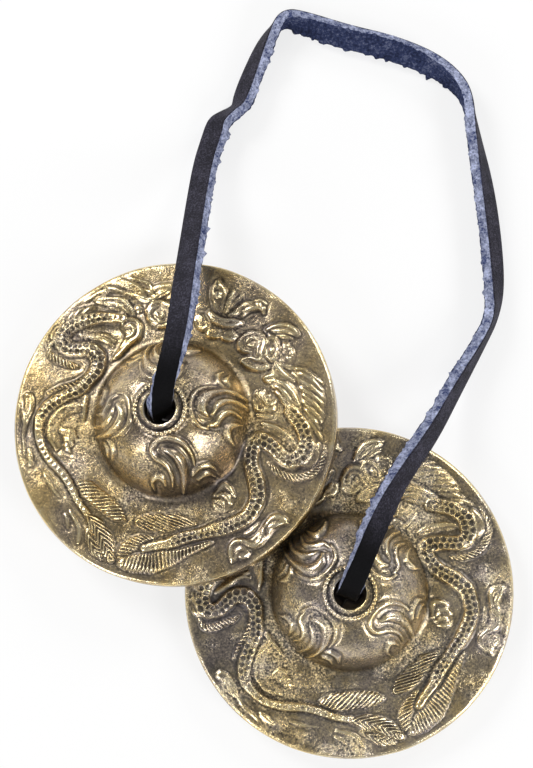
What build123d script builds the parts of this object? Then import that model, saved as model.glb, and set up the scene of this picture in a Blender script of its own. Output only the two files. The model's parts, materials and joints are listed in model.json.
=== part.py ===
"""Tingsha: two cast bell-metal cymbals tied to the two ends of one flat leather strap.

The pair lies as it was put down: the right cymbal flat on the table, the left one leaning on
it, and the strap in a loose arch behind them. Millimetres, +Z up, the origin on the table
midway between the two cymbals.
"""

from build123d import *

import os
from math import acos, asin, cos, degrees, hypot, radians, sin, sqrt, tan

# Leather strap
STRAP_WIDTH = 4.8
STRAP_THICKNESS = 2.2

# Cymbal casting, the same mould for both
CYMBAL_DIAMETER = 65.0
CYMBAL_HEIGHT = 19.0
RIM_THICKNESS = 5.0
FLANGE_RISE = 0.4
DOME_RADIUS = 15.4
DOME_WALL = 3.4
LIP_WIDTH = 1.1
LIP_HEIGHT = 0.4
FOOT_ROUND = 2.0
RIM_ROUND = 0.8
CUP_ROUND = 0.7
LIP_ROUND = 0.15
HOLE_CLEARANCE = 0.9

# Raised ornament of that mould: heights above the casting's skin, the depth of the forms' root in
# it, the ring that they keep to, the right casting's turn from the left one, and the ornament's
# turn from the seam of the turned casting
DRAGON_HEIGHT = 0.9
FIGURE_HEIGHT = 0.6
SCROLL_HEIGHT = 0.7
RELIEF_ROOT = 1.0
RELIEF_START = 5.4
RELIEF_MARGIN = 1.4
MOULD_TURN = 43.2
SEAM_TURN = 30.0
SCROLL_TURNS = (0, 83, 173, 263)

# Its forms in the plan of a casting of this radius, the hole as origin: x, y and half width along
# the middle line of each
PLAN_RADIUS = 32.5
DRAGONS = (
    (
        (-10.2, 20.9, 0.8),
        (-15.0, 21.2, 1.1),
        (-19.8, 20.1, 1.3),
        (-22.7, 17.5, 1.3),
        (-21.2, 15.0, 1.3),
        (-17.4, 14.6, 1.4),
        (-15.4, 12.0, 1.4),
        (-17.2, 8.3, 1.3),
        (-21.2, 5.5, 1.2),
        (-25.6, 2.9, 1.1),
        (-27.2, -0.8, 0.9),
        (-26.4, -4.8, 0.8),
        (-23.0, -9.2, 0.8),
        (-20.8, -12.0, 0.7),
        (-17.6, -17.4, 0.6),
    ),
    (
        (23.6, 1.2, 1.2),
        (25.7, -1.7, 1.3),
        (26.6, -5.0, 1.3),
        (25.2, -7.8, 1.3),
        (22.4, -8.0, 1.3),
        (20.2, -5.9, 1.3),
        (17.6, -4.4, 1.3),
        (15.9, -6.2, 1.3),
        (15.9, -9.6, 1.3),
        (16.9, -12.9, 1.5),
        (16.9, -16.1, 1.4),
        (15.0, -19.2, 1.4),
        (11.0, -21.3, 1.3),
        (6.5, -22.4, 1.2),
        (1.3, -23.7, 1.0),
        (-5.2, -25.3, 0.8),
    ),
)
FIGURES = (
    # Heads, manes and claws
    ((-5.4, 21.8, 1.8), (-2.4, 21.4, 2.5), (0.4, 22.4, 2.0), (2.6, 23.8, 1.0)),
    ((-16.4, 25.6, 0.6), (-12.0, 26.2, 1.6), (-8.0, 26.4, 1.6), (-1.4, 27.2, 0.7)),
    ((-9.3, 19.6, 1.2), (-8.5, 17.8, 1.7), (-9.6, 15.8, 1.1), (-11.8, 13.0, 0.4)),
    ((14.4, 16.4, 1.1), (16.2, 14.6, 2.3), (17.0, 12.6, 2.1), (17.2, 10.8, 1.2)),
    ((18.8, 17.4, 0.5), (22.0, 18.2, 1.2), (24.8, 16.6, 0.4)),
    ((19.6, 15.2, 1.1), (20.4, 13.0, 1.6), (22.6, 12.4, 1.5)),
    ((20.2, 10.4, 0.9), (21.8, 6.9, 1.6), (24.0, 2.8, 1.3)),
    ((25.0, 9.6, 0.6), (27.4, 6.0, 1.9), (28.2, 1.2, 1.9), (28.0, -1.6, 1.0)),
    ((-19.0, 2.6, 0.5), (-22.9, 1.0, 0.9), (-23.4, -4.6, 0.6)),
    # Fins and leaves
    ((-19.0, -11.8, 0.4), (-15.9, -14.2, 1.6), (-12.5, -17.0, 1.6), (-9.3, -19.7, 0.3)),
    ((-16.8, -18.6, 0.6), (-14.3, -21.8, 1.7), (-12.6, -25.2, 1.5), (-11.9, -27.3, 0.6)),
    ((-6.4, -20.3, 0.8), (-2.0, -20.4, 1.6), (2.0, -20.2, 1.1), (5.0, -20.4, 0.3)),
    ((-9.6, -28.0, 0.9), (-3.6, -28.1, 1.7), (2.4, -26.3, 0.9), (8.4, -24.2, 0.3)),
    ((19.3, -9.2, 0.3), (22.5, -11.3, 0.7), (26.6, -11.3, 0.8), (29.6, -7.4, 0.4)),
    # Lotus dish with its jewel
    ((4.8, 20.6, 1.0), (8.0, 17.6, 1.2), (12.2, 16.8, 0.9)),
    ((7.2, 21.6, 0.4), (10.2, 19.6, 0.9), (13.6, 19.6, 0.4)),
    ((8.8, 28.0, 0.4), (9.0, 25.4, 1.2), (9.4, 22.2, 0.6)),
    ((11.6, 21.3, 0.5), (14.8, 22.8, 1.1), (18.0, 22.3, 0.5)),
    # Clouds
    ((12.2, -27.6, 0.8), (13.0, -25.2, 1.1), (16.4, -24.2, 1.2), (19.2, -21.4, 1.2), (22.4, -20.2, 0.6)),
    ((10.4, -13.2, 0.9), (10.4, -15.5, 1.8), (9.4, -17.4, 0.8)),
    ((17.3, 4.8, 0.7), (18.2, 3.4, 1.2), (19.4, 2.2, 0.8)),
)
DOME_SCROLL = (
    ((-2.4, -8.2, 0.5), (0.8, -6.8, 1.0), (4.2, -7.8, 1.3), (5.4, -11.0, 0.9), (5.1, -14.2, 0.3)),
    ((-1.8, -9.6, 0.6), (1.2, -10.6, 1.1), (2.9, -12.2, 1.2), (2.6, -14.4, 0.3)),
)

# Stopper knots inside the cups
KNOT_OVERLAP = 2.1
KNOT_ROUND = 0.9
KNOT_GAP = 0.3
TAIL_LENGTH = 7.0
TAIL_BEND = 2.6
TAIL_DROP = 0.4

# How the pair lies
LINE_OF_CENTRES = 135.9
RELIEF_ROOM = 0.7
BEND_RISE = 4.2
LEFT_TWIST = -8.0
RIGHT_TWIST = 6.0

# Sizes that follow from those above
rim_radius = CYMBAL_DIAMETER / 2
hole_radius = (hypot(STRAP_WIDTH, STRAP_THICKNESS) + HOLE_CLEARANCE) / 2
lip_radius = hole_radius + LIP_WIDTH
cup_radius = DOME_RADIUS - DOME_WALL
dome_centre = CYMBAL_HEIGHT - LIP_HEIGHT - sqrt(DOME_RADIUS**2 - lip_radius**2)
knot_radius = hole_radius + KNOT_OVERLAP
knot_top = dome_centre + sqrt(cup_radius**2 - knot_radius**2) - KNOT_GAP
bend_height = CYMBAL_HEIGHT + BEND_RISE
flange_top = RIM_THICKNESS + FLANGE_RISE
plan_scale = rim_radius / PLAN_RADIUS

# The left cymbal's near edge stands over the foot of the right dome, where the dome is widest,
# and its underside clears the right cymbal's rim by the height of the relief beside it. Its far
# edge is on the table.
ledge_height = RIM_THICKNESS + RELIEF_ROOM
ledge_reach = CYMBAL_DIAMETER - (rim_radius - DOME_RADIUS)
tilt = asin(ledge_height / ledge_reach)
across = Vector(cos(radians(LINE_OF_CENTRES)), sin(radians(LINE_OF_CENTRES)))
half_span = across * (rim_radius * cos(tilt) + DOME_RADIUS) / 2
left_up = across * sin(tilt) + Vector(0, 0, cos(tilt))
left_seat = Plane(half_span + Vector(0, 0, rim_radius * sin(tilt)), (1, 0, 0), left_up)
right_seat = Plane(-half_span, (1, 0, 0), (0, 0, 1))


def on_axis(seat, height):
    """A point on a cymbal's axis, this far above the plane of its rim."""
    return seat.origin + seat.z_dir * height


# The strap's route from hole to hole: x, y, z and its lean in degrees. A lean of 0 lies flat with
# the grain side up, 90 stands on its left edge, and more than 90 falls over to the outside.
LEFT_RUN = (
    (-15.7, 31.5, 25.2, 16),
    (-14.4, 42.1, 20.2, 26),
    (-13.5, 51.5, 13.8, 30),
    (-12.8, 61.2, 7.6, 32),
    (-11.6, 71.0, 3.8, 34),
    (-9.0, 78.6, 2.7, 42),
    (-4.6, 82.8, 2.7, 54),
    (-2.4, 88.6, 2.8, 52),
    (1.0, 97.0, 2.7, 62),
    (4.3, 101.9, 2.7, 90),
)
TOP_RUN = (
    (9.2, 100.2, 2.7, 120),
    (17.6, 97.3, 2.7, 128),
    (26.0, 95.2, 2.7, 130),
    (34.0, 92.0, 2.7, 120),
    (39.2, 88.4, 2.7, 104),
    (42.3, 84.2, 2.7, 88),
)
RIGHT_RUN = (
    (43.4, 76.0, 2.7, 72),
    (45.3, 65.3, 2.7, 53),
    (46.6, 54.2, 2.7, 50),
    (47.1, 44.6, 2.7, 54),
    (46.5, 38.6, 2.7, 76),
    (44.2, 33.8, 2.8, 78),
    (38.8, 24.6, 4.3, 64),
    (33.0, 14.2, 9.8, 55),
    (26.4, 5.2, 15.2, 52),
    (21.8, -4.0, 20.0, 34),
)
SECTION_TURN = 14.0
SHORT_RUN_SHARE = 0.45

strap_runs = [
    (*on_axis(left_seat, knot_top), LEFT_TWIST),
    (*on_axis(left_seat, bend_height), LEFT_TWIST),
    *LEFT_RUN,
    *TOP_RUN,
    *RIGHT_RUN,
    (*on_axis(right_seat, bend_height), RIGHT_TWIST),
    (*on_axis(right_seat, knot_top), RIGHT_TWIST),
]
corners = [Vector(x, y, z) for x, y, z, lean in strap_runs]
leans = [lean for x, y, z, lean in strap_runs]


def bend_radius(before, corner, after):
    """The largest arc that fits this corner of the route."""
    arriving = corner - before
    leaving = after - corner
    turn = radians(arriving.get_angle(leaving))
    return SHORT_RUN_SHARE * min(arriving.length, leaving.length) / tan(turn / 2)


radii = [bend_radius(*corners[i : i + 3]) for i in range(len(corners) - 2)]
print("strap bend radii", [round(radius, 1) for radius in radii])

with BuildLine() as strap_path:
    FilletPolyline(*corners, radius=radii)
stretches = strap_path.wire().order_edges()


def level_side(direction):
    """The level direction to the right of a stretch that runs along the table."""
    return direction.cross(Vector(0, 0, 1)).normalized()


def side_of(direction, is_left_end, is_right_end):
    """The right-hand side of a stretch; the two necks take theirs from the run beside them."""
    if is_left_end:
        direction = corners[2] - corners[1]
    if is_right_end:
        direction = corners[-2] - corners[-3]
    return level_side(direction)


def section_plane(point, direction, side, lean):
    """The plane of a section of the strap: local x across its width, z along it."""
    side = (side - direction * side.dot(direction)).normalized()
    rise = side.cross(direction)
    width = side * cos(radians(lean)) + rise * sin(radians(lean))
    return Plane(point, width, direction)


def strap_sections():
    """The planes along the strap, one list for each stretch or arc of the route."""
    runs = [corners[i + 1] - corners[i] for i in range(len(corners) - 1)]
    last = len(runs) - 1
    sides = [side_of(run, i == 0, i == last) for i, run in enumerate(runs)]
    lists = []
    for i, stretch in enumerate(stretches):
        here = i // 2
        if i % 2 == 0:
            ends = [leans[here], leans[here + 1]]
            reach = [(stretch @ end - corners[here]).length / runs[here].length for end in (0, 1)]
            lists.append(
                [
                    section_plane(
                        stretch @ end,
                        stretch % end,
                        sides[here],
                        ends[0] + (ends[1] - ends[0]) * share,
                    )
                    for end, share in zip((0, 1), reach)
                ]
            )
            continue
        steps = max(2, round(degrees(stretch.length / radii[here]) / SECTION_TURN))
        lead = (stretch @ 0 - corners[here + 1]).length / runs[here].length
        trail = (stretch @ 1 - corners[here + 1]).length / runs[here + 1].length
        first = leans[here + 1] + (leans[here] - leans[here + 1]) * lead
        final = leans[here + 1] + (leans[here + 2] - leans[here + 1]) * trail
        lists.append(
            [
                section_plane(
                    stretch @ (step / steps),
                    stretch % (step / steps),
                    sides[here] * (1 - step / steps) + sides[here + 1] * (step / steps),
                    first + (final - first) * step / steps,
                )
                for step in range(steps + 1)
            ]
        )
    return lists


sections = strap_sections()


def strap_loft(planes):
    """A stretch of strap through these section planes."""
    with BuildPart() as stretch:
        for plane in planes:
            with BuildSketch(plane):
                Rectangle(STRAP_WIDTH, STRAP_THICKNESS)
        loft(ruled=True)
    return stretch


def joined(lists):
    """The section planes of several stretches in a row, each shared end once."""
    planes = list(lists[0])
    for more in lists[1:]:
        planes += more[1:]
    return planes


def band(points):
    """One form of the ornament in plan, its two sides set off from the drawn middle line."""
    middle = [Vector(x, y) * plan_scale for x, y, half in points]
    ahead = [*middle[1:], middle[-1]]
    behind = [middle[0], *middle[:-1]]
    sides = [
        Vector(last.Y - first.Y, first.X - last.X).normalized() * half * plan_scale
        for first, last, (x, y, half) in zip(behind, ahead, points)
    ]
    right = [point + side for point, side in zip(middle, sides)]
    left = [point - side for point, side in zip(middle, sides)]
    with BuildSketch() as outline:
        with BuildLine():
            Spline(*right)
            Line(right[-1], left[-1])
            Spline(*left)
            Line(right[0], left[0])
        make_face()
    return outline.sketch


def skin_line(rise):
    """The casting's top side in section, moved out by this much: dome, mid dome, foot, flange edge."""
    reach = DOME_RADIUS + rise
    start_angle = acos(RELIEF_START / reach)
    foot_angle = asin((flange_top + rise - dome_centre) / reach)
    dome = [
        (reach * cos(angle), dome_centre + reach * sin(angle))
        for angle in (start_angle, (start_angle + foot_angle) / 2, foot_angle)
    ]
    return [*dome, (rim_radius - RELIEF_MARGIN, RIM_THICKNESS + rise)]


def round_corner(section, place, radius):
    """Rounds the corner of a section that is at this place."""
    fillet(section.vertices().sort_by_distance(place)[0], radius)


def ornament(plan, height, bands):
    """Forms of the ornament standing this high on the casting's skin."""
    top = skin_line(height)
    root = skin_line(-RELIEF_ROOT)
    with BuildPart() as forms:
        with BuildSketch(plan):
            for points in bands:
                add(band(points))
        extrude(amount=CYMBAL_HEIGHT)
        with BuildSketch(Plane(plan.origin, plan.x_dir, -plan.y_dir)) as skin:
            with BuildLine():
                ThreePointArc(*top[:3])
                Polyline(top[2], top[3], root[3], root[2])
                ThreePointArc(*root[:3])
                Line(root[0], top[0])
            make_face()
            round_corner(skin, top[2], FOOT_ROUND - height)
        revolve(axis=Axis(plan.origin, plan.z_dir), mode=Mode.INTERSECT)
    return forms


def cymbal():
    """One casting at the origin: a thick rim, a flange, a hollow dome with a lipped hole, and relief."""
    foot = sqrt(DOME_RADIUS**2 - (flange_top - dome_centre) ** 2)
    mid_angle = radians(45)
    lip_foot = CYMBAL_HEIGHT - LIP_HEIGHT
    hole_bottom = dome_centre + sqrt(cup_radius**2 - hole_radius**2)
    with BuildPart() as casting:
        with BuildSketch(Plane.XZ) as section:
            with BuildLine():
                Polyline((cup_radius, dome_centre), (cup_radius, 0), (rim_radius, 0))
                Polyline((rim_radius, 0), (rim_radius, RIM_THICKNESS), (foot, flange_top))
                ThreePointArc(
                    (foot, flange_top),
                    (DOME_RADIUS * cos(mid_angle), dome_centre + DOME_RADIUS * sin(mid_angle)),
                    (lip_radius, lip_foot),
                )
                Polyline(
                    (lip_radius, lip_foot),
                    (lip_radius, CYMBAL_HEIGHT),
                    (hole_radius, CYMBAL_HEIGHT),
                    (hole_radius, hole_bottom),
                )
                ThreePointArc(
                    (hole_radius, hole_bottom),
                    (cup_radius * cos(mid_angle), dome_centre + cup_radius * sin(mid_angle)),
                    (cup_radius, dome_centre),
                )
            make_face()
            round_corner(section, (foot, flange_top), FOOT_ROUND)
            round_corner(section, (rim_radius, RIM_THICKNESS), RIM_ROUND)
            round_corner(section, (rim_radius, 0), RIM_ROUND)
            round_corner(section, (cup_radius, 0), CUP_ROUND)
            round_corner(section, (lip_radius, CYMBAL_HEIGHT), LIP_ROUND)
            round_corner(section, (hole_radius, CYMBAL_HEIGHT), LIP_ROUND)
        revolve(axis=Axis.Z)
        plan = Plane.XY.rotated((0, 0, SEAM_TURN))
        add(ornament(plan, DRAGON_HEIGHT, DRAGONS).part)
        add(ornament(plan, FIGURE_HEIGHT, FIGURES).part)
        for turn in SCROLL_TURNS:
            add(ornament(plan.rotated((0, 0, turn)), SCROLL_HEIGHT, DOME_SCROLL).part)
    return casting


def stopper_knot(seat, neck, side):
    """The knotted end of the strap: its neck in the hole, one wrap round it, and the tail."""
    tail_plane = Plane(seat.origin, seat.z_dir.cross(side), side)
    tail_start = knot_top - STRAP_WIDTH
    with BuildPart() as knot:
        add(strap_loft(neck).part)
        with BuildSketch(Plane(on_axis(seat, tail_start), side, seat.z_dir)):
            Circle(knot_radius)
        extrude(amount=STRAP_WIDTH)
        fillet(knot.edges().filter_by(GeomType.CIRCLE), KNOT_ROUND)
        with BuildLine(tail_plane):
            drop = Line((0, tail_start), (0, tail_start - TAIL_DROP))
            bend = TangentArc(drop @ 1, (TAIL_BEND, tail_start - TAIL_DROP - TAIL_BEND), tangent=drop % 1)
            Line(bend @ 1, (TAIL_LENGTH, tail_start - TAIL_DROP - TAIL_BEND))
        with BuildSketch(Plane(on_axis(seat, tail_start), side, -seat.z_dir)):
            Rectangle(STRAP_WIDTH, STRAP_THICKNESS)
        sweep()
    return knot


os.makedirs("parts", exist_ok=True)
left_side = level_side(corners[2] - corners[1])
left_side = (left_side - left_seat.z_dir * left_side.dot(left_seat.z_dir)).normalized()
right_side = level_side(corners[-2] - corners[-3])
casting = cymbal().part
pieces = {
    "left_cymbal": left_seat.location * Rotation(0, 0, -SEAM_TURN) * casting,
    "right_cymbal": right_seat.location * Rotation(0, 0, MOULD_TURN - SEAM_TURN) * casting,
    "left_knot": stopper_knot(left_seat, sections[0], left_side).part,
    "left_bend": strap_loft(sections[1]).part,
    "strap": strap_loft(joined(sections[2:-2])).part,
    "right_bend": strap_loft(sections[-2]).part,
    "right_knot": stopper_knot(right_seat, sections[-1], right_side).part,
}
for name, piece in pieces.items():
    piece.label = name
    export_step(piece, f"parts/{name}.step")
    print(name, "volume", round(piece.volume, 1))
strap_length = sum(stretch.length for stretch in stretches)
print("strap from knot to knot", round(strap_length, 1))
print("section times length", round(STRAP_WIDTH * STRAP_THICKNESS * strap_length, 1))
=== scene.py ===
"""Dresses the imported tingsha: two cast bell-metal cymbals with dragon relief on one leather strap.

Lengths are metres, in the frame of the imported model. The ornament is drawn in millimetres over
the plan of a casting and raised on its top side; both castings come from the same mould.
"""

import json
import math
from collections import namedtuple

import bmesh
import bpy
import numpy as np
from bpy.props import FloatProperty, FloatVectorProperty, IntProperty, PointerProperty
from mathutils import Matrix, Vector, noise


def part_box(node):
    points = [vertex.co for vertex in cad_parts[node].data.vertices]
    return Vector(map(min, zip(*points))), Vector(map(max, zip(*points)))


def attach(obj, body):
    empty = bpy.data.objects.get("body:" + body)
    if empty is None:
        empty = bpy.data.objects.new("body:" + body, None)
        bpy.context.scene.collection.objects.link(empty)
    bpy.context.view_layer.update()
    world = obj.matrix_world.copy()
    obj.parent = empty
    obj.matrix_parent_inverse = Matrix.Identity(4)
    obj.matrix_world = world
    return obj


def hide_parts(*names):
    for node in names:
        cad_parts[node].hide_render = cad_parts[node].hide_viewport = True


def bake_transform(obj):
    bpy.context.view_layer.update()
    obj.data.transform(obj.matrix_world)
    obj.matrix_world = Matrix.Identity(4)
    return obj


bl_info = {
    "name": "Tingsha Cymbals",
    "version": (1, 0, 0),
    "blender": (4, 5, 0),
    "location": "3D View > Sidebar > Tingsha",
    "description": "Builds the castings, the leather strap and the stage of a pair of tingsha",
    "category": "Object",
}

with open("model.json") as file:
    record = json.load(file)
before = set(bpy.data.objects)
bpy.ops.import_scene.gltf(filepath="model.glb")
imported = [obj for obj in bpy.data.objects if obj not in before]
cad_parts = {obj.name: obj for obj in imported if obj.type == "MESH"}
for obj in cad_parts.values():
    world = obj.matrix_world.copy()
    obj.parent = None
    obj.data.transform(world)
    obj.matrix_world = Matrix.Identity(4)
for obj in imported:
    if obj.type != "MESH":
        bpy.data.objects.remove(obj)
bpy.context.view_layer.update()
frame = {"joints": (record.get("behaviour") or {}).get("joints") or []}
joints = {joint["name"]: joint for joint in frame["joints"]}
MM = 0.001
# Vertices nearer than this are one.
MERGE_DISTANCE = 1e-6

# Lamps: name, place in metres, power in watts, width in metres.
LAMPS = (
    ("key_light", (-0.45, 0.45, 0.5), 3.4, 0.28),
    ("fill_light", (0.55, -0.4, 0.42), 3.0, 0.28),
    ("low_light", (-0.45, -0.5, 0.38), 1.7, 0.22),
    ("back_light", (0.5, 0.5, 0.4), 1.7, 0.22),
)
WORLD_STRENGTH = 0.3
# The floor in metres, a hair under the object, and the share of it that shows as plain white.
FLOOR_HALF_SIZE = 3.0
FLOOR_DROP = 0.0002
FLOOR_GLOW = 0.75
# The camera and the point that it looks at, in millimetres.
CAMERA_PLACE = (11.316, -8.987, 300)
CAMERA_TARGET = (0.716, 25.213, 0)
SENSOR_WIDTH = 36


def seat_matrix(joint):
    """Where a casting stands: origin in the middle of its rim, z along its axis, x to the right."""
    up = Vector(joint["axis"]).normalized()
    side = Vector((1, 0, 0))
    side = (side - up * side.dot(up)).normalized()
    columns = Matrix((side, up.cross(side), up)).transposed()
    return Matrix.Translation(joint["pos_m"]) @ columns.to_4x4()


left_seat = seat_matrix(joints["left_spin"])
right_seat = seat_matrix(joints["right_spin"])
right_low, right_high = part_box("right_cymbal")

# The strap's route from hole to hole in millimetres: x, y, z and its lean in degrees. A lean of 0
# lies flat with the grain side up, 90 stands on its left edge.
LEFT_NECK = ((-18.9, 17.6, 18.0664, -50), (-18.7, 18.9, 26.5, -30))
STRAP_RUNS = (
    (-15.0, 31.3, 25.4, 30),
    (-14.2, 42.1, 20.2, 30),
    (-13.5, 51.5, 13.8, 30),
    (-12.8, 61.2, 7.6, 31),
    (-11.7, 70.4, 3.8, 31),
    (-10.3, 75.4, 2.8, 32),
    (-9.5, 78.0, 2.7, 33),
    (-9.0, 79.1, 2.7, 38),
    (-7.9, 80.1, 2.7, 52),
    (-5.6, 81.6, 2.7, 64),
    (-4.4, 82.8, 2.7, 56),
    (-3.7, 85.0, 2.8, 46),
    (-2.0, 89.6, 2.8, 48),
    (1.0, 97.0, 2.7, 62),
    (4.3, 101.9, 2.7, 90),
    (9.2, 100.2, 2.7, 120),
    (17.6, 97.3, 2.7, 128),
    (26.0, 95.2, 2.7, 130),
    (34.0, 92.0, 2.7, 120),
    (39.2, 88.4, 2.7, 104),
    (42.3, 84.2, 2.7, 88),
    (43.4, 76.0, 2.7, 72),
    (45.3, 65.3, 2.7, 53),
    (46.6, 54.2, 2.7, 50),
    (47.1, 44.6, 2.7, 54),
    (46.5, 38.6, 2.7, 76),
    (44.2, 33.8, 2.8, 78),
    (38.8, 24.6, 4.3, 64),
    (33.0, 14.2, 9.8, 55),
    (26.4, 5.2, 15.2, 52),
    (21.8, -4.0, 20.0, 30),
)
RIGHT_NECK = ((17.0, -16.2, 23.0, 8), (16.8, -16.6, 14.3006, 0))
# The strap narrows over this stretch before each end, where painted shade also darkens its grain, in
# metres.
NECK_OUTER = 0.026
NECK_INNER = 0.012
NECK_NARROWING = 0.16
# A point inside each hole where a bend would stay still, worked out for each bend but not used: the
# share of the neck, and how far out of the hole's middle.
STILL_SHARE = 0.33
STILL_SHIFT = 1.7 * MM
# The strap's section: points along a face and an edge, and the share of each that is straight.
FACE_POINTS = 9
FACE_SHARE = 0.97
EDGE_POINTS = 5
EDGE_SHARE = 0.72
# Roughness of the cut edges and the flesh side: noise to the metre, height on each in millimetres.
ROUGHNESS = ((420, 0.12, 0.14), (1500, 0.2, 0.18))
# Tufts on the frayed edges: noise to the metre, length in millimetres, shift of the noise.
TUFTS = ((300, 0.9, (7, 3, 5)), (900, 1.4, (1, 8, 2)))
# How far a tuft stands out sideways and hangs down, and how much shorter it is on a neck.
TUFT_OUT = 0.8
TUFT_DOWN = 0.3
TUFT_NECK = 0.4
# Share of a cut edge's fibres that the flesh side covers where it is most frayed.
FRAYED_FLESH = 0.4
ROUTE_RESOLUTION = 24
# A knot's turn: radius at each step in millimetres, start and step in degrees, fall a step, lean.
WRAP_RADII = (1.8, 2.7, 3.3, 3.5, 3.6, 3.6, 3.6, 3.6, 3.5, 3.0)
WRAP_START = 90
WRAP_STEP = 38
WRAP_FALL = 0.06
WRAP_LEAN = 0.8
# The tail of a knot in millimetres: how far out, and how far above the knot's lower edge.
TAIL_ROUTE = ((0, 4.4), (0, 1.6), (0, -1.8), (2.4, -3.0), (4.8, -3.0))

# Ornament, in millimetres over the plan of the left casting: half widths along each stroke, then
# its points.
LEFT_BODY = (
    (0.8, 1.0, 1.1, 1.15, 1.3, 1.45, 1.55, 1.5, 1.4, 1.4, 1.5, 1.6, 1.5, 1.4, 1.35, 1.3, 1.25, 1.2, 1.15,
     1.05, 0.9, 0.85, 0.82, 0.8, 0.8, 0.8, 0.78, 0.72, 0.68, 0.62, 0.58),
    ((-10.2, 20.9), (-12.5, 21.1), (-15, 21.2), (-17.5, 20.9), (-19.8, 20.1), (-21.8, 18.9),
     (-22.9, 17.3), (-22.6, 15.9), (-21.2, 15), (-19.2, 14.8), (-17.2, 14.7), (-15.7, 13.6),
     (-15.2, 11.9), (-15.9, 10), (-17.2, 8.3), (-18.9, 6.7), (-21.2, 5.5), (-23.6, 4.4),
     (-25.6, 2.9), (-26.8, 1), (-27.2, -0.8), (-27, -2.8), (-26.4, -4.8), (-25.5, -6.3),
     (-24.4, -7.8), (-23, -9.2), (-21.8, -10.5), (-20.8, -12), (-19.8, -13.8), (-18.6, -16),
     (-16.8, -18.3)),
)
RIGHT_BODY = (
    (1.2, 1.35, 1.35, 1.4, 1.5, 1.55, 1.55, 1.5, 1.4, 1.35, 1.35, 1.4, 1.45, 1.45, 1.4, 1.3, 1.35, 1.5,
     1.55, 1.5, 1.4, 1.4, 1.4, 1.35, 1.3, 1.25, 1.2, 1.1, 1.05, 0.95, 0.8),
    ((23.6, 1.2), (24.7, -0.2), (25.7, -1.7), (26.4, -3.3), (26.6, -5), (26.2, -6.6), (25.2, -7.9),
     (23.8, -8.4), (22.4, -8), (21.2, -7), (20.2, -5.9), (19, -4.9), (17.6, -4.2), (16.5, -4.6),
     (15.8, -6), (15.7, -8), (15.9, -9.6), (16.4, -11.2), (16.9, -12.9), (17.1, -14.5),
     (16.9, -16.1), (16.2, -17.7), (15, -19.2), (13.2, -20.4), (11, -21.3), (8.8, -21.9),
     (6.5, -22.4), (4, -22.9), (1.3, -23.7), (-1.6, -24.6), (-5.2, -25.3)),
)
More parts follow.
